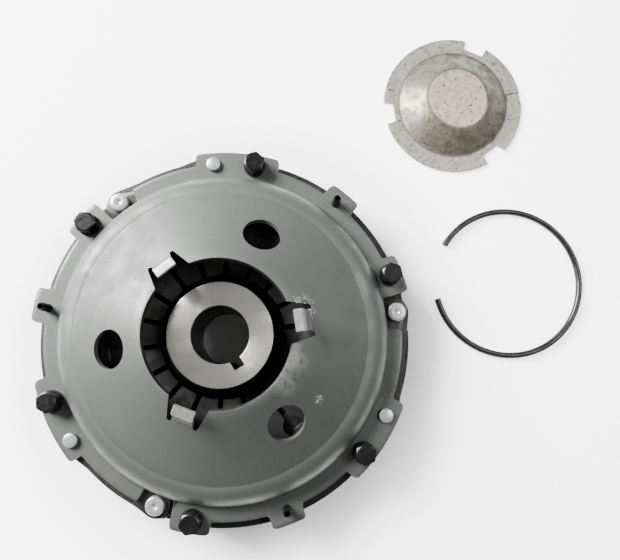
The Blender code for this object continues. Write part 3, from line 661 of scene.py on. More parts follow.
@dataclass(frozen=True)
class AgedFinish:
    """Pressed steel gone warm grey, its dome's slope painted darker than the rim as shade, with
    brown specks and one worn crescent.
    """

    name: str = "aged_steel"
    color: Triple = (0.138, 0.130, 0.100)
    shade: Triple = (0.066, 0.061, 0.042)
    rim: Triple = (0.29, 0.275, 0.245)
    rim_start: float = 0.0405
    speck: Triple = (0.03, 0.02, 0.012)
    worn: Triple = (0.42, 0.365, 0.305)

    def material(self, centre: Vector, flat_radius: float) -> Material:
        """Makes the material for a cap with this centre and this size of flat top."""
        graph = Graph(self.name)
        where = graph.place(centre)
        mottle = graph.patches(where, 130, 0.4, 0.62, detail=8, rough=0.68)
        color = graph.mix(mottle, self.color, self.shade)
        radius = graph.radius(where)
        # The dome's slope keeps the darker base colour as painted shade; the rim is lighter.
        rim = graph.step(radius, self.rim_start - 0.0003, self.rim_start + 0.0005, (0, 0.85))
        color = graph.mix(rim, color, self.rim)
        flat = graph.step(radius, flat_radius - 0.001, flat_radius, (0.85, 0))
        color = graph.mix(flat, color, self.worn)
        scurf = graph.patches(where, 330, 0.46, 0.66, 0.55, detail=6, rough=0.7)
        color = graph.mix(scurf, color, self.shade)
        away = graph.math("ABSOLUTE", graph.math("SUBTRACT", radius, flat_radius))
        ring = graph.step(away, 0, 0.0022, (1, 0))
        worn_spot = (flat_radius * 0.55, -flat_radius * 0.75, 0.012)
        patch = graph.near(where, worn_spot, flat_radius * 1.1)
        color = graph.mix(graph.math("MULTIPLY", ring, patch), color, self.worn)
        specks = graph.patches(where, 420, 0.6, 0.65, 0.85, rough=0.6)
        color = graph.mix(specks, color, self.speck)
        fine = graph.patches(where, 1100, 0.6, 0.7, 0.5, detail=3)
        color = graph.mix(fine, color, self.speck)
        graph.bump(graph.noise(where, 600, 4), 0.15, 0.0002)
        return graph.finish(color, graph.step(mottle, 0, 1, (0.38, 0.52)), 0.55)


OXIDE = Metal(
    "black_oxide",
    color=(0.0025, 0.0025, 0.003),
    stain=(0.005, 0.005, 0.005),
    roughness=0.3, metallic=0.0,
    stain_scale=120, stain_share=0.6, grain_scale=800,
    bump=0.12, gloss=0.22,
)
ZINC = Metal(
    "zinc_plate",
    color=(0.30, 0.32, 0.31),
    stain=(0.22, 0.23, 0.225),
    roughness=0.3, metallic=0.55,
    stain_scale=150, stain_share=0.5, grain_scale=900,
    bump=0.08,
)
BLACK_IRON = Metal(
    "cast_iron_black",
    color=(0.005, 0.005, 0.005),
    stain=(0.008, 0.0075, 0.007),
    roughness=0.5, metallic=0.0,
    stain_scale=60, stain_share=0.6, grain_scale=500,
    bump=0.3, gloss=0.25,
)
# The pressure plate is painted near black as shade inside the cover's rim.
BROWN_IRON = Metal(
    "cast_iron_brown",
    color=(0.010, 0.008, 0.0075),
    stain=(0.024, 0.020, 0.018),
    roughness=0.5, metallic=0.2,
    stain_scale=110, stain_share=0.7, grain_scale=450,
    bump=0.5, painted_shade_within=0.097,
)
STRAP = Metal(
    "strap_steel",
    color=(0.012, 0.0100, 0.0095),
    stain=(0.006, 0.0055, 0.005),
    roughness=0.42, metallic=0.3,
    stain_scale=130, stain_share=0.7, grain_scale=500,
    bump=0.35,
)
LINING = Metal(
    "friction_lining",
    color=(0.03, 0.024, 0.02),
    stain=(0.015, 0.012, 0.01),
    roughness=0.85, metallic=0.0,
    stain_scale=200, stain_share=0.6, grain_scale=700,
    bump=0.4,
)
WIRE = Metal(
    "ring_steel",
    color=(0.034, 0.034, 0.032),
    stain=(0.018, 0.017, 0.016),
    roughness=0.34, metallic=0.9,
    stain_scale=140, stain_share=0.6, grain_scale=700,
    bump=0.15,
)


# ---------------------------------------------------------------- layout


@dataclass(frozen=True)
class Layout:
    """Places and angles that the sub-assemblies share."""

    axis: Vector
    flange_top: float
    lug_angle: float = 8.4
    bolt_angles: tuple[float, float] = (20.7, 80.7)
    pin_angle: float = 50.7
    rivet_angle: float = 94.3
    tongue_angle: float = 8.7
    window_angle: float = 67.7
    bolt_circle: float = 0.115
    pin_circle: float = 0.1146
    cover_rivet_circle: float = 0.1148
    lug_rivet_circle: float = 0.1128

    def all_bolts(self) -> list[float]:
        """Angles of the bolts, in order."""
        return sorted(turn for angle in self.bolt_angles for turn in sectors(angle))

    def place(
        self,
        name: str,
        mesh: Mesh,
        body: Body | None,
        slot: Slot,
        material: Material,
        nodes: Sequence[str] = (),
        matrix: Matrix | None = None,
        origin: Vector | None = None,
        sharp: float = 32.0,
    ) -> bpy.types.Object:
        """Puts a finished piece into the scene.

        Args:
            name: The piece's name.
            mesh: Its mesh, in the clutch's frame.
            body: The body it rides on, or None for a piece that bends between two.
            slot: The record's slot for its finish; not used.
            material: Its material.
            nodes: The solid model's nodes it stands for.
            matrix: A further move, made before the one to the axis.
            origin: Where the mesh's own origin goes, in place of the clutch's axis.
            sharp: Edges that turn by more than this angle are sharp.
        """
        if matrix is not None:
            mesh.transform(matrix)
        mesh.transform(Matrix.Translation(origin or self.axis))
        mesh.materials.clear()
        mesh.materials.append(material)
        mesh.shade_smooth()
        mesh.set_sharp_from_angle(angle=math.radians(sharp))
        piece = add_object(name, mesh)
        if body is not None:
            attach(piece, body.value)
        if nodes:
            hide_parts(*nodes)
        LOG.info("%s: %d faces", name, len(mesh.polygons))
        return piece


# ---------------------------------------------------------------- cover


@dataclass(frozen=True)
class Tab:
    """A lobe of the flange: angle from its fastener, half its spread, and its radius."""

    offset: float
    half: float
    radius: float


@dataclass
class Cover:
    """The pressed cover with its flange, windows and bent tongues."""

    layout: Layout
    sheet: float = 0.003
    recess_radius: float = 0.1152
    bolt_tab: Tab = Tab(-0.4, 6.2, 0.1235)
    pin_tab: Tab = Tab(-0.6, 5.4, 0.1242)
    wide_tab: Tab = Tab(5.8, 13.4, 0.1232)
    lug_cutout: float = 0.106
    lug_cutout_half: float = 5.6
    lug_cutout_ramp: float = 0.0016
    tab_corner: float = 0.0032
    tab_root: float = 0.0016
    wall_foot: float = 0.1050
    wall_rise: float = 0.0007
    cone_foot: float = 0.0905
    shelf_height: float = 0.0155
    height: float = 0.0412
    opening: float = 0.044
    window_circle: float = 0.0655
    window_radius: float = 0.0117
    tongue_width: float = 0.013
    tongue_slot: float = 0.0031
    slot_flare: float = 0.0052
    tongue_root: float = 0.0545
    tongue_knee: float = 0.0505
    tongue_end: float = 0.045
    tongue_rise: float = 0.0485
    tongue_sheet: float = 0.0024
    columns: int = 960
    bolt_hole: float = 0.0045
    pin_hole: float = 0.0028
    rivet_hole: float = 0.0029

    def cone_height(self, radius: float) -> float:
        """Height of the conical face at a radius."""
        share = (radius - self.opening) / (self.cone_foot - self.opening)
        return self.layout.flange_top + self.height + share * (self.shelf_height - self.height)

    def slope(self) -> float:
        """Slope of the cone, in radians."""
        return math.atan2(self.height - self.shelf_height, self.cone_foot - self.opening)

    def edge_radius(self, angle: np.ndarray) -> np.ndarray:
        """Radius of the flange's edge at each angle."""
        lug = self.layout.lug_angle
        half_sector = SECTOR_TURN / 2
        angle = (angle - lug + half_sector) % SECTOR_TURN - half_sector + lug
        radius = np.full_like(angle, self.recess_radius)
        first, second = self.layout.bolt_angles
        tabs = (
            (first + self.bolt_tab.offset, self.bolt_tab),
            (self.layout.pin_angle + self.pin_tab.offset, self.pin_tab),
            (second + self.wide_tab.offset - SECTOR_TURN, self.wide_tab),
        )
        outer, inner = self.tab_corner, self.tab_root
        for middle, tab in tabs:
            inside = np.radians(tab.half - np.abs(angle - middle)) * self.recess_radius
            corner = np.clip(outer - inside, 0, outer)
            top = tab.radius - outer + np.sqrt(outer**2 - corner**2)
            root = np.clip(inner + inside, 0, inner)
            foot = self.recess_radius + inner - np.sqrt(inner**2 - root**2)
            radius = np.maximum(radius, np.where(inside > 0, top, foot))
        inside = np.radians(self.lug_cutout_half - np.abs(angle - lug)) * self.recess_radius
        return radius + ease(inside / self.lug_cutout_ramp + 0.5) * (self.lug_cutout - radius)

    def outer_profile(self) -> Profile:
        """The outer face from the opening to past the flange's edge."""
        top, crease = self.layout.flange_top, self.shelf_height
        turn = np.radians(np.linspace(0, 90, 15)[1:])
        wide, tall = self.wall_foot - self.cone_foot, crease - self.wall_rise
        wall = zip(self.cone_foot + wide * np.sin(turn), top + self.wall_rise + tall * np.cos(turn))
        return fillet(
            [
                (self.opening, top + self.height),
                (self.cone_foot, top + crease),
                *((float(r), float(z)) for r, z in wall),
                (self.wall_foot + 0.0003, top),
                (0.128, top),
            ],
            0.0007,
            closed=False,
        )

    def shell(self) -> Grid:
        """The sheet with its rounded edges, before any hole."""
        radius, height = np.array(self.outer_profile()).T
        run = np.concatenate([[0], np.cumsum(np.hypot(np.diff(radius), np.diff(height)))])
        tangent_r, tangent_z = np.gradient(radius, run), np.gradient(height, run)
        length = np.hypot(tangent_r, tangent_z)
        turn = np.linspace(0, 360, self.columns, endpoint=False)
        edge = np.interp(self.edge_radius(turn), radius, run)
        fixed = float(np.interp(0.1045, radius, run))
        inner_rows = np.concatenate([np.linspace(0.0005, run[1], 9), run[2:][run[2:] < fixed]])
        ramp = np.linspace(0, 1, 10)[1:]
        spans = np.concatenate(
            [
                np.repeat(inner_rows[:, None], self.columns, axis=1),
                fixed + (edge - 0.0005 - fixed)[None, :] * ramp[:, None],
            ]
        )
        lip = 0.0003
        rows = [
            *((span, 0.0) for span in spans),
            (edge, lip),
            (edge, self.sheet - lip),
            *((span, self.sheet) for span in spans[::-1]),
            (np.zeros(self.columns), self.sheet - lip),
            (np.zeros(self.columns), lip),
        ]
        spread = np.stack([span for span, _ in rows])
        depth = np.array([deep for _, deep in rows])[:, None]
        r = np.interp(spread, run, radius) + depth * np.interp(spread, run, tangent_z / length)
        z = np.interp(spread, run, height) - depth * np.interp(spread, run, tangent_r / length)
        return Grid(around_axis(r, np.radians(turn), z))

    def cutters(self) -> list[Grid]:
        """Everything that pierces the sheet."""
        layout, top = self.layout, self.layout.flange_top
        foot, head = top - self.sheet - 0.004, top + 0.006
        cutters = []
        for circle, angles, hole in (
            (layout.bolt_circle, layout.all_bolts(), self.bolt_hole),
            (layout.pin_circle, sectors(layout.pin_angle), self.pin_hole),
            (layout.cover_rivet_circle, sectors(layout.rivet_angle), self.rivet_hole),
        ):
            cutters += posts(circle, angles, hole, foot, head)
        for turn in sectors(layout.tongue_angle):
            for slot in self.slot_outlines():
                cutters += prisms(slot, [turn], top + 0.02, top + 0.06)
        return cutters

    def slot_outlines(self) -> tuple[np.ndarray, np.ndarray]:
        """The slots on both sides of a tongue, round at the root and flared to the mouth."""
        half, wide = self.tongue_width / 2, self.tongue_width / 2 + self.tongue_slot
        turn = np.radians(np.linspace(-90, 90, 13))
        round_end = np.column_stack(
            [
                self.tongue_root + self.tongue_slot / 2 * np.cos(turn),
                (half + wide) / 2 + self.tongue_slot / 2 * np.sin(turn),
            ]
        )
        inner = self.opening - 0.014
        slot = np.concatenate([[(inner, half)], round_end, [(inner, wide + self.slot_flare)]])
        return slot, slot[::-1] * (1, -1)

    def mouth_cutters(self) -> list[Grid]:
        """The gaps between each pair of slots, cut after them because they overlap."""
        top, half = self.layout.flange_top, self.tongue_width / 2
        inner, outer = self.opening - 0.014, self.tongue_root - 0.001
        box = np.array([(inner, -half - 0.001), (outer, -half - 0.0005)])
        box = np.concatenate([box, box[::-1] * (1, -1)])
        return prisms(box, sectors(self.layout.tongue_angle), top + 0.0201, top + 0.0601)

    def window_cutters(self) -> list[Grid]:
        """The three round windows, square to the cone."""
        cutters = []
        for turn in sectors(self.layout.window_angle):
            bore = prism(disc_outline((0, 0), self.window_radius, 72), -0.01, 0.01)
            middle = (*polar(self.window_circle, turn), self.cone_height(self.window_circle))
            place = (
                Matrix.Translation(middle)
                @ Matrix.Rotation(math.radians(turn), 4, "Z")
                @ Matrix.Rotation(self.slope(), 4, "Y")
            )
            matrix = np.array(place)
            cutters.append(Grid(bore.points @ matrix[:3, :3].T + matrix[:3, 3], wrap_rows=False))
        return cutters

    def tongue(self, angle: float) -> Grid:
        """One bent-up tongue, its root buried in the sheet."""
        root, knee = self.tongue_root, self.tongue_knee
        top = self.layout.flange_top + self.tongue_rise
        path = fillet(
            [
                (root + 0.0015, self.cone_height(root + 0.0015) - 0.0014),
                (root - 0.0006, self.cone_height(root - 0.0006) + 0.0001),
                (knee, top - 0.0010),
                (self.tongue_end, top),
            ],
            0.0022,
            closed=False,
            steps=5,
        )
        line = np.array(path)
        along = np.gradient(line, axis=0)
        along /= np.linalg.norm(along, axis=1, keepdims=True)
        below = np.column_stack([along[:, 1], -along[:, 0]])
        below *= -np.sign(below[:, 1:2])
        lip, deep, half = 0.0004, self.tongue_sheet, self.tongue_width / 2 - 0.0001
        section = [(-half + lip, 0), (half - lip, 0), (half, lip), (half, deep - lip)]
        section += [(half - lip, deep), (-half + lip, deep), (-half, deep - lip), (-half, lip)]
        rows = []
        for across, down in section:
            flat = line + below * down
            radius = flat[:, 0]
            turn = math.radians(angle)
            x = radius * math.cos(turn) - across * math.sin(turn)
            y = radius * math.sin(turn) + across * math.cos(turn)
            rows.append(np.column_stack([x, y, flat[:, 1]]))
        return Grid(np.stack(rows), wrap_columns=False)

    def build(self) -> None:
        """Makes the cover and its tongues."""
        mesh = mesh_of("clutch_cover_pressing", [self.shell()])
        mesh = combined(mesh, "cover_cutters", self.cutters())
        mesh = combined(mesh, "mouth_cutters", self.mouth_cutters())
        mesh = combined(mesh, "window_cutters", self.window_cutters())
        centre = self.layout.axis

        def spot(radius: float, angle: float) -> Vector:
            """A point of the cone."""
            return Vector((*polar(radius, angle), self.cone_height(radius)))

        finish = PhosphateFinish().material(centre, spot)
        cover = Body.COVER
        nodes = ["clutch_cover"]
        self.layout.place("clutch_cover_pressing", mesh, cover, Slot.PHOSPHATE, finish, nodes)
        # The tongues' material paints a highlight on their free ends.
        worn = TongueFinish(knee=self.tongue_knee)
        for index, turn in enumerate(sectors(self.layout.tongue_angle)):
            tongue = mesh_of(f"cover_tongue_{index + 1}", [self.tongue(turn)])
            material = worn.material(centre)
            self.layout.place(tongue.name, tongue, cover, Slot.PHOSPHATE, material)


# ---------------------------------------------------------------- fixed iron and steel


@dataclass
class Flywheel:
    """The flywheel plate under everything."""

    layout: Layout
    radius: float = 0.1217
    web: float = 0.012
    bore: float = 0.036
    rim_bore: float = 0.104
    pad_radius: float = 0.0078
    pad_bevel: float = 0.0007
    notch_half: float = 0.0125
    notch_gap: float = 0.002
    rim_drop: float = 0.0077
    bolt_bore: float = 0.0042
    pin_bore: float = 0.0029

    def build(self, cover_foot: float, pad_top: float, plate_foot: float) -> None:
        """Makes the plate with its pads and notches.

        Args:
            cover_foot: Height of the flange's underside.
            pad_top: Height of the pads that the flange stands on.
            plate_foot: Height of the pressure plate, which the notches clear.
        """
        rim_top = cover_foot - self.rim_drop
        profile = fillet(
            [
                (self.rim_bore, rim_top),
                (self.radius, rim_top),
                (self.radius, 0),
                (self.bore, 0),
                (self.bore, self.web),
                (self.rim_bore, self.web),
            ],
            0.0009,
        )
        mesh = mesh_of("flywheel_casting", [lathe(profile, 360)])
        layout = self.layout
        seats = (
            (layout.bolt_circle, layout.all_bolts(), self.bolt_bore),
            (layout.pin_circle, sectors(layout.pin_angle), self.pin_bore),
        )
        pads, bores = [], []
        for circle, angles, bore in seats:
            foot = self.web + 0.002
            pads += posts(circle, angles, self.pad_radius, foot, pad_top, self.pad_bevel)
            bores += posts(circle, angles, bore, -0.004, pad_top + 0.004)
        mesh = combined(mesh, "pads", pads, "UNION")
        mesh = combined(mesh, "bores", bores)
        block = np.array([(0.1, -1), (0.13, -1), (0.13, 1), (0.1, 1)]) * (1, self.notch_half)
        notch_floor = plate_foot - self.notch_gap
        notches = prisms(block, sectors(layout.lug_angle), notch_floor, pad_top + 0.003)
        mesh = combined(mesh, "notches", notches)
        finish = BLACK_IRON.material(layout.axis)
        nodes = ["flywheel_plate"]
        layout.place("flywheel_casting", mesh, Body.COVER, Slot.BLACK_IRON, finish, nodes)


@dataclass
class DiaphragmSpring:
    """The dished spring and its fingers."""

    layout: Layout
    fingers: int = 18
    slot_angle: float = 8.5
    radius: float = 0.090
    tip: float = 0.0393
    thickness: float = 0.003
    slope: float = 7.0
    slot: float = 0.0034
    keyhole_circle: float = 0.0705
    keyhole: float = 0.0062

    def build(self, top: float) -> bpy.types.Object:
        """Makes the spring, whose rim is highest at this height."""
        slope = math.radians(self.slope)
        drop = (self.radius - self.tip) * math.tan(slope)
        deep = self.thickness / math.cos(slope)
        profile = fillet(
            [
                (self.tip, top - drop),
                (self.radius, top),
                (self.radius, top - deep),
                (self.tip, top - drop - deep),
            ],
            0.0008,
        )
        mesh = mesh_of("diaphragm_fingers", [lathe(profile, 360)])
        half = self.slot / 2
        entry = math.degrees(math.asin(half / self.keyhole))
        turn = np.radians(np.linspace(-180 + entry, 180 - entry, 25))
        head = np.column_stack(
            [self.keyhole_circle + self.keyhole * np.cos(turn), self.keyhole * np.sin(turn)]
        )
        near = self.keyhole_circle - self.keyhole - 0.001
        far = near + 0.003
        strip = np.array([(0.03, -half), (far, -half), (far, half), (0.03, half)])
        angles = [self.slot_angle + finger * 360 / self.fingers for finger in range(self.fingers)]
        mesh = combined(mesh, "finger_tool", prisms(head, angles, top - 0.02, top + 0.004))
        mesh = combined(mesh, "slit_tool", prisms(strip, angles, top - 0.021, top + 0.005))
        finish = SpringFinish().material(self.layout.axis)
        piece = self.layout.place(
            "diaphragm_fingers", mesh, Body.COVER, Slot.SPRING, finish, ["diaphragm_spring"]
        )
        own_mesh(piece)
        return piece


@dataclass
class Straps:
    """The leaves that carry the drive from the cover to the pressure plate."""

    layout: Layout
    half_width: float = 0.00875
    leaf: float = 0.0011
    lug_eye: float = 0.0039
    cover_eye: float = 0.0029

    def build(self, foot: float) -> None:
        """Makes all leaves, the lowest standing at this height."""
        layout = self.layout
        lug = Vector(polar(layout.lug_rivet_circle, layout.lug_angle))
        anchor = Vector(polar(layout.cover_rivet_circle, layout.rivet_angle - SECTOR_TURN))
        finish = STRAP.material(layout.axis)
        outline = stadium(lug, anchor, self.half_width)
        for leaf, word in enumerate(("lower", "upper")):
            low = foot + leaf * (self.leaf + GAP)
            for sector in range(SECTORS):
                strip = prism(outline, low, low + self.leaf, 0.0003)
                mesh = mesh_of(f"strap_leaf_{sector + 1}_{word}", [strip])
                eyes = [
                    prism(disc_outline(tuple(end), radius), low - 0.003, low + 0.004)
                    for end, radius in ((lug, self.lug_eye), (anchor, self.cover_eye))
                ]
                mesh = combined(mesh, "strap_eyes", eyes)
                turn = Matrix.Rotation(math.radians(SECTOR_TURN * sector), 4, "Z")
                node = f"drive_strap_{sector + 1}_{word}"
                piece = layout.place(mesh.name, mesh, None, Slot.STRAP, finish, [node], matrix=turn)
                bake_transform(piece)


# ---------------------------------------------------------------- pressure plate


@dataclass
class PressurePlate:
    """The pressure plate with its three lugs and their rivets."""

    layout: Layout
    bore: float = 0.062
    edge_radius: float = 0.1015
    edge_thickness: float = 0.0046
    body_radius: float = 0.091
    body_height: float = 0.0126
    ridge: float = 0.079
    lug_thickness: float = 0.0058
    lug_half: float = 0.010
    lug_reach: float = 0.121
    lug_corner: float = 0.006

    def build(self, face: float, crest: float, lug_top: float) -> None:
        """Makes the plate.

        Args:
            face: Height of the friction face.
            crest: Height of the ridge that the spring presses on.
            lug_top: Height of the lugs' upper face.
        """
        body, edge = face + self.body_height, face + self.edge_thickness
        profile = fillet(
            [
                (self.ridge - 0.0015, crest),
                (self.ridge + 0.0015, crest),
                (self.ridge + 0.005, body),
                (self.body_radius, body),
                (self.body_radius, edge),
                (self.edge_radius, edge),
                (self.edge_radius, face),
                (self.bore, face),
                (self.bore, body),
                (self.ridge - 0.005, body),
            ],
            0.001,
        )
        mesh = mesh_of("pressure_casting", [lathe(profile, 240)])
        near, far, corner = 0.095, self.lug_reach, self.lug_corner
        turn = np.radians(np.linspace(-90, 0, 9))
        nose = np.column_stack(
            [far - corner + corner * np.cos(turn), -self.lug_half + corner + corner * np.sin(turn)]
        )
        side = np.concatenate([[(near, -self.lug_half)], nose])
        outline = np.concatenate([side, side[::-1] * (1, -1)])
        low, angles = lug_top - self.lug_thickness, sectors(self.layout.lug_angle)
        lugs = prisms(outline, angles, low, lug_top, 0.0006)
        mesh = combined(mesh, "lugs", lugs, "UNION")
        for radius, height in ((0.0039, lug_top + 0.004), (0.0062, low + 0.0021)):
            bores = posts(self.layout.lug_rivet_circle, angles, radius, face - 0.004, height)
            mesh = combined(mesh, "lug_bores", bores)
        finish = BROWN_IRON.material(self.layout.axis)
        self.layout.place(
            "pressure_casting", mesh, Body.PRESSURE, Slot.BROWN_IRON, finish, ["pressure_plate"]
        )


# ---------------------------------------------------------------- fasteners


@dataclass
class Fasteners:
    """Bolts, spring washers, roll pins and rivets."""

    layout: Layout
    across_flats: float = 0.012
    bolt_height: float = 0.0076
    bolt_radius: float = 0.0039
    washer_radius: float = 0.0072
    washer_height: float = 0.0026
    corner_cut: float = 0.00012
    chamfer_start: float = 0.93
    chamfer_slope: float = 0.55
    shank_end: float = 0.0065
    shank_tip: float = 0.006
    pin_radius: float = 0.0026
    pin_wall: float = 0.001
    pin_rise: float = 0.0117
    turns: tuple[float, ...] = (12.0, 47.0, 25.0, 3.0, 38.0, 55.0)

    def head(self, foot: float) -> Grid:
        """A hexagon head with a chamfered top, standing at this height."""
        columns = 144
        turn = np.linspace(0, math.tau, columns, endpoint=False)
        side = self.across_flats / 2
        edge = side / np.cos((turn + math.pi / 6) % (math.pi / 3) - math.pi / 6)
        edge = np.minimum(edge, side / math.cos(math.pi / 6) - self.corner_cut)
        flat = side * self.chamfer_start
        rows = [(edge * 0, np.full(columns, self.bolt_height))]
        rows.append((np.full(columns, flat * 0.96), np.full(columns, self.bolt_height)))
        for share in (0.0, 0.35, 0.7, 1.0):
            radius = flat + (edge - flat) * share
            fall = (radius - flat) * self.chamfer_slope
            rows.append((radius, self.bolt_height - 0.0001 - fall))
        rows.append((edge, np.full(columns, 0.0005)))
        rows.append((edge - 0.0003, np.zeros(columns)))
        rows.append((edge * 0, np.zeros(columns)))
        radius = np.stack([row for row, _ in rows])
        height = np.stack([row for _, row in rows]) + foot
        return Grid(around_axis(radius, turn, height), wrap_rows=False)

    def bolts(self) -> None:
        """Makes the bolts and their washers."""
        layout = self.layout
        foot = layout.flange_top + GAP
        seat = foot + self.washer_height + GAP
        shank_profile = [
            (0, seat),
            (self.bolt_radius, seat),
            (self.bolt_radius, self.shank_end),
            (self.bolt_radius - 0.0008, self.shank_tip),
            (0, self.shank_tip),
        ]
        shank = lathe(shank_profile, 32, closed=False)
        section = fillet(
            [
                (self.bolt_radius + GAP, foot),
                (self.washer_radius, foot),
                (self.washer_radius, foot + self.washer_height),
                (self.bolt_radius + GAP, foot + self.washer_height),
            ],
            0.0004,
        )
        finish = OXIDE.material(layout.axis)
        for number, angle in enumerate(layout.all_bolts(), 1):
            turn = Matrix.Rotation(math.radians(self.turns[number - 1]), 4, "Z")
            spin = shift_to(layout.bolt_circle, angle) @ turn
            for name, node, grids, sharp in (
                ("hexagon_bolt", "cover_bolt", [self.head(seat), shank], 22),
                ("split_washer", "spring_washer", [part_ring(section, 6, 354, 60)], 32),
            ):
                mesh, nodes = mesh_of(f"{name}_{number}", grids), [f"{node}_{number}"]
                layout.place(
                    mesh.name, mesh, Body.COVER, Slot.OXIDE, finish, nodes, matrix=spin, sharp=sharp
                )

    def pins(self) -> None:
        """Makes the split roll pins."""
        layout = self.layout
        top = layout.flange_top + self.pin_rise
        section = [
            (self.pin_radius - self.pin_wall, 0.01),
            (self.pin_radius, 0.0105),
            (self.pin_radius, top - 0.0012),
            (self.pin_radius - 0.0004, top),
            (self.pin_radius - self.pin_wall, top),
        ]
        finish = OXIDE.material(layout.axis)
        for index, angle in enumerate(sectors(layout.pin_angle)):
            pin = mesh_of(f"split_pin_{index + 1}", [part_ring(section, 14, 346, 40)])
            place, nodes = shift_to(layout.pin_circle, angle), [f"roll_pin_{index + 1}"]
            layout.place(pin.name, pin, Body.COVER, Slot.OXIDE, finish, nodes, matrix=place)

    def rivets(self, strap_foot: float, strap_top: float, lug_foot: float) -> None:
        """Makes the cover's and the lugs' rivets."""
        top = self.layout.flange_top + GAP
        cover = [
            (0, top + 0.0028),
            (0.0037, top + 0.0028),
            (0.0043, top + 0.0025),
            (0.0046, top + 0.0018),
            (0.0046, top),
            (0.0026, top),
            (0.0026, strap_foot - GAP),
            (0.0044, strap_foot - GAP),
            (0.0040, strap_foot - GAP - 0.0018),
            (0, strap_foot - GAP - 0.0018),
        ]
        low, high = strap_top + GAP, strap_top + GAP + 0.0046
        lug = [
            (0, high - 0.0010),
            (0.0009, high - 0.0009),
            (0.0018, high - 0.0001),
            (0.0022, high),
            (0.0050, high),
            (0.0056, high - 0.0003),
            (0.0060, high - 0.0011),
            (0.0060, low),
            (0.0036, low),
            (0.0036, lug_foot + 0.0018),
            (0.0054, lug_foot + 0.0018),
            (0.0051, lug_foot),
            (0, lug_foot),
        ]
        layout = self.layout
        finish = ZINC.material(layout.axis)
        for stem, profile, circle, angle, body in (
            ("cover_rivet", cover, layout.cover_rivet_circle, layout.rivet_angle, Body.COVER),
            ("lug_rivet", lug, layout.lug_rivet_circle, layout.lug_angle, Body.PRESSURE),
        ):
            for index, turn in enumerate(sectors(angle)):
                node = f"{stem}_{index + 1}"
                mesh = mesh_of(f"{node}_head", [lathe(profile, 48, closed=False)])
                place = shift_to(circle, turn)
                layout.place(
                    mesh.name, mesh, body, Slot.ZINC, finish, [node], matrix=place, sharp=40
                )


# ---------------------------------------------------------------- friction disc


@dataclass
class Hub:
    """The bored and keyed hub."""

    layout: Layout
    bore: float = 0.0175
    face_radius: float = 0.0321
    face: float = 0.0604
    skirt_radius: float = 0.0379
    neck: float = 0.010
    flange_radius: float = 0.054
    boss_radius: float = 0.030
    key_half: float = 0.0034
    key_depth: float = 0.0054
    key_angle: float = 301.5

    foot: float = 0.003
    skirt_rise: float = 0.0028
    flange_thickness: float = 0.005
    rivets: int = 6
    rivet_circle: float = 0.046
    rivet_bore: float = 0.0031

    def build(self, flange_foot: float) -> None:
        """Makes the hub, whose flange stands at this height."""
        skirt_foot = self.layout.flange_top + self.skirt_rise
        flange_top = flange_foot + self.flange_thickness
        profile = fillet(
            [
                (self.bore, self.face),
                (self.face_radius, self.face),
                (self.face_radius, self.face - self.neck),
                (self.skirt_radius, skirt_foot),
                (self.skirt_radius, flange_top),
                (self.flange_radius, flange_top),
                (self.flange_radius, flange_foot),
                (self.boss_radius, flange_foot),
                (self.boss_radius, self.foot),
                (self.bore, self.foot),
            ],
            0.0008,
        )
        mesh = mesh_of("keyed_hub", [lathe(profile, 240)])
        half, deep = self.key_half, self.bore + self.key_depth
        key = np.array([(0.008, -half), (deep, -half), (deep, half), (0.008, half)])
        keyway = prism(turned_outline(key, self.key_angle), -0.004, self.face + 0.004)
        mesh = combined(mesh, "keyway", [keyway])
        angles = [index * 360 / self.rivets for index in range(self.rivets)]
        bores = posts(self.rivet_circle, angles, self.rivet_bore, 0.012, 0.028)
        mesh = combined(mesh, "rivet_bores", bores)
        finish = TurnedFinish().material(self.layout.axis, self.face)
        self.layout.place("keyed_hub", mesh, Body.DISC, Slot.TURNED, finish, ["drive_hub"])


# ---------------------------------------------------------------- loose pieces


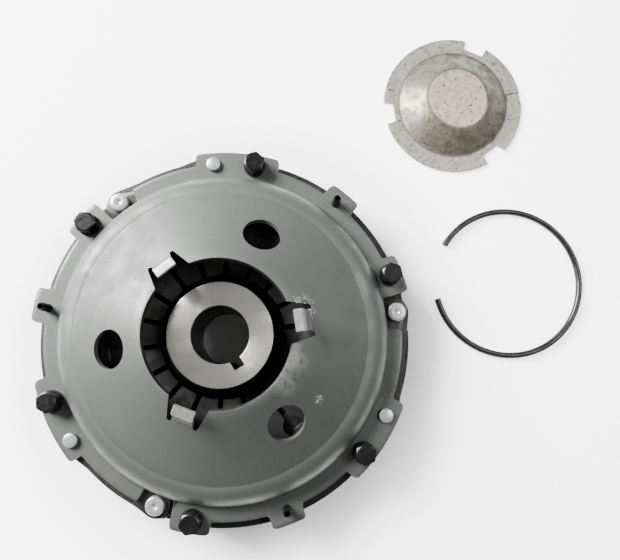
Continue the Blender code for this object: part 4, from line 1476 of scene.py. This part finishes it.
@dataclass
class CentreCap:
    """The pressed cap that lies beside the clutch."""

    layout: Layout
    radius: float = 0.0512
    sheet: float = 0.002
    dome_foot: float = 0.0403
    dome_top: float = 0.0205
    rise: float = 0.0115
    notch_angles: tuple[float, ...] = (68.0, 188.0, 308.0)
    notch_half: float = 0.0084
    notch_depth: float = 0.007
    groove_angle: float = 8.0
    groove_half: float = 0.0031
    groove_depth: float = 0.0011
    offset: Triple = (0.1633, 0.1741, 0)

    def build(self) -> None:
        """Makes the cap, on the ground at its offset from the clutch."""
        centre = self.layout.axis + Vector(self.offset)
        columns = 720
        turn = np.linspace(0, 360, columns, endpoint=False)
        reach = np.full(columns, self.radius)
        for angle in self.notch_angles:
            away = np.radians((turn - angle + 180) % 360 - 180)
            across = np.abs(np.sin(away)) * self.radius
            floor = (self.radius - self.notch_depth) / np.maximum(np.cos(away), 0.5)
            notched = (across < self.notch_half) & (np.cos(away) > 0)
            reach = np.where(notched, np.minimum(floor, reach), reach)
        inner = np.linspace(0, self.dome_foot + 0.003, 60)
        outer = np.linspace(0, 1, 12)[1:]
        radius = np.concatenate(
            [
                np.repeat(inner[:, None], columns, axis=1),
                inner[-1] + (reach - 0.0003 - inner[-1])[None, :] * outer[:, None],
            ]
        )
        share = (radius - self.dome_top) / (self.dome_foot - self.dome_top)
        reached = (0, 0.06, 0.14, 0.3, 0.9, 0.96, 1)
        drop = np.interp(share, reached, (0, 0.012, 0.07, 0.23, 0.92, 0.985, 1))
        height = self.sheet + self.rise * (1 - drop)
        away = np.radians((turn - self.groove_angle + 180) % 360 - 180)
        across = np.abs(radius * np.sin(away)[None, :])
        inside = (np.cos(away) > 0)[None, :] & (radius > self.dome_foot - 0.002)
        groove = ease((self.groove_half - across) / 0.0008 + 0.5) * inside
        height = height - self.groove_depth * groove * ease((radius - self.dome_foot) / 0.002)
        lip = 0.0003
        under = np.maximum(height - self.sheet, 0.0)
        edge = reach[None, :]
        radius = np.concatenate([radius, edge, edge, radius[::-1]])
        height = np.concatenate([height, height[-1:] - lip, under[-1:] + lip, under[::-1]])
        points = around_axis(radius, np.radians(turn), height)
        mesh = mesh_of("pressed_cap", [Grid(points, wrap_rows=False)])
        finish = AgedFinish().material(centre, self.dome_top + 0.001)
        nodes = ["centre_cap"]
        self.layout.place("pressed_cap", mesh, Body.CAP, Slot.AGED, finish, nodes, origin=centre)


@dataclass
class WireRing:
    """The open wire ring that lies beside the clutch."""

    layout: Layout
    radius: float = 0.0519
    wire: float = 0.0022
    start: float = 193.0
    sweep: float = 316.0
    offset: Triple = (0.1983, 0.0409, 0)

    def build(self) -> None:
        """Makes the ring, on the ground at its offset from the clutch."""
        centre = self.layout.axis + Vector(self.offset)
        around = np.linspace(0, math.tau, 24, endpoint=False)
        turn = np.radians(np.linspace(self.start, self.start + self.sweep, 240))
        taper = np.ones(len(turn))
        taper[[0, -1]] = 0.72
        turn[1], turn[-2] = turn[0] + 0.012, turn[-1] - 0.012
        out = self.radius + np.outer(np.cos(around), self.wire * taper)
        height = self.wire + np.outer(np.sin(around), self.wire * taper)
        mesh = mesh_of("wire_ring", [Grid(around_axis(out, turn, height), wrap_columns=False)])
        finish = WIRE.material(centre)
        nodes = ["cap_retaining_ring"]
        self.layout.place("wire_ring", mesh, Body.RING, Slot.WIRE, finish, nodes, origin=centre)


# ---------------------------------------------------------------- studio


@dataclass
class Studio:
    """The table, the lights and the camera."""

    layout: Layout
    lens: float = 32.52
    shift: tuple[float, float] = (0.02568, 0.0405)
    eye: Triple = (0.036241, -0.019087, 0.36133)
    tilt: Triple = (0.110, -0.024, 0.0)
    table_tone: float = 0.86
    # The table's glow is painted light; the darker tone beneath the clutch is painted shade.
    table_glow: float = 2.3
    shade_tone_beneath: float = 0.62
    shade_radius_beneath: float = 0.06
    clutch_radius: float = 0.118
    glow_radius: float = 0.19
    table_half: float = 4.0
    lamp_aim: Triple = (0.05, 0.03, 0.02)

    def table(self) -> None:
        """Adds the pale table, which glows as painted light away from the clutch and is painted
        darker as shade beneath it.
        """
        mesh = bpy.data.meshes.new("table")
        half = self.table_half
        corners = [(-half, -half, 0), (half, -half, 0), (half, half, 0), (-half, half, 0)]
        mesh.from_pydata(corners, [], [(0, 1, 2, 3)])
        graph = Graph("table_top")
        radius = graph.radius(graph.place(self.layout.axis))
        # Away from the clutch the table glows as painted light, fading to none near the clutch so
        # its shadow stays.
        glow = graph.step(radius, self.clutch_radius, self.glow_radius, (0, self.table_glow))
        graph.put(graph.shader.inputs["Emission Color"], (1, 1, 1, 1))
        graph.put(graph.shader.inputs["Emission Strength"], glow)
        # Beneath the clutch the table is painted darker as shade, seen through the bore.
        tones = (self.shade_tone_beneath, self.table_tone)
        tone = graph.step(radius, self.shade_radius_beneath, self.clutch_radius, tones)
        mesh.materials.append(graph.finish(tone, 0.8, 0.0))
        add_object("table", mesh)

    def light(self, name: str, place: Triple, size: float, power: float) -> None:
        """Adds a square soft light that faces the clutch."""
        data = bpy.data.lights.new(name, "AREA")
        data.shape, data.size, data.energy = "SQUARE", size, power
        lamp = add_object(name, data)
        lamp.location = self.layout.axis + Vector(place)
        aim = self.layout.axis + Vector(self.lamp_aim) - lamp.location
        lamp.rotation_euler = aim.to_track_quat("-Z", "Y").to_euler()

    def build(self) -> None:
        """Adds everything."""
        self.table()
        self.light("key_light", (-1.04, 0.73, 0.85), 0.8, 200.0)
        self.light("fill_light", (0.9, 0.2, 1.2), 0.7, 16.0)
        world = bpy.context.scene.world or bpy.data.worlds.new("studio")
        bpy.context.scene.world = world
        world.use_nodes = True
        back = world.node_tree.nodes["Background"]
        back.inputs["Color"].default_value = (1, 1, 1, 1)
        back.inputs["Strength"].default_value = 0.3
        data = bpy.data.cameras.new("camera")
        data.lens, data.sensor_width = self.lens, 36.0
        data.shift_x, data.shift_y = self.shift
        data.clip_start = 0.01
        camera = add_object("camera", data)
        eye = Vector(self.eye) + Vector((0, 0, self.layout.flange_top))
        camera.location = self.layout.axis + eye
        camera.rotation_euler = self.tilt
        bpy.context.scene.camera = camera


# ---------------------------------------------------------------- main


@dataclass
class Heights:
    """Heights of the stack: the flange's own, and those of the solid model's nodes."""

    boxes: dict[str, tuple[Vector, Vector]]
    flange_top: float = 0.0339

    def low(self, node: str) -> float:
        """Lowest height of a node."""
        return self.boxes[node][0].z

    def high(self, node: str) -> float:
        """Highest height of a node."""
        return self.boxes[node][1].z


def dress_solids(nodes: dict[str, bpy.types.Object], axis: Vector) -> None:
    """Gives the disc's own solids, which stay, their finishes."""
    finishes = {"disc_carrier": STRAP, "lower_facing": LINING, "upper_facing": LINING}
    finishes.update({f"disc_rivet_{index}": STRAP for index in range(1, 7)})
    made = {finish.name: finish.material(axis) for finish in dict.fromkeys(finishes.values())}
    for name, finish in finishes.items():
        nodes[name].data.materials.clear()
        nodes[name].data.materials.append(made[finish.name])


def main() -> None:
    """Builds everything in order."""
    logging.basicConfig(level=logging.INFO, format="%(name)s: %(message)s")
    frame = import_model()
    heights = Heights({name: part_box(name) for name in frame["nodes"]})
    low, high = heights.boxes["drive_hub"]
    axis = Vector(((low.x + high.x) / 2, (low.y + high.y) / 2, 0))
    layout = Layout(axis, heights.flange_top)

    cover = Cover(layout)
    cover.build()
    face = heights.low("pressure_plate")
    cover_foot = layout.flange_top - cover.sheet
    Flywheel(layout).build(cover_foot, heights.high("flywheel_plate"), face)
    DiaphragmSpring(layout).build(heights.high("diaphragm_spring"))
    strap_foot = heights.low("drive_strap_1_lower")
    Straps(layout).build(strap_foot)
    plate, lug_top = PressurePlate(layout), strap_foot - GAP
    plate.build(face, heights.high("pressure_plate"), lug_top)
    fasteners = Fasteners(layout)
    fasteners.bolts()
    fasteners.pins()
    strap_top, lug_foot = heights.high("drive_strap_1_upper"), lug_top - plate.lug_thickness
    fasteners.rivets(strap_foot, strap_top, lug_foot)
    Hub(layout).build(heights.low("upper_facing"))
    dress_solids(frame["nodes"], axis)
    CentreCap(layout).build()
    WireRing(layout).build()
    Studio(layout).build()


if __name__ == "__main__":
    main()
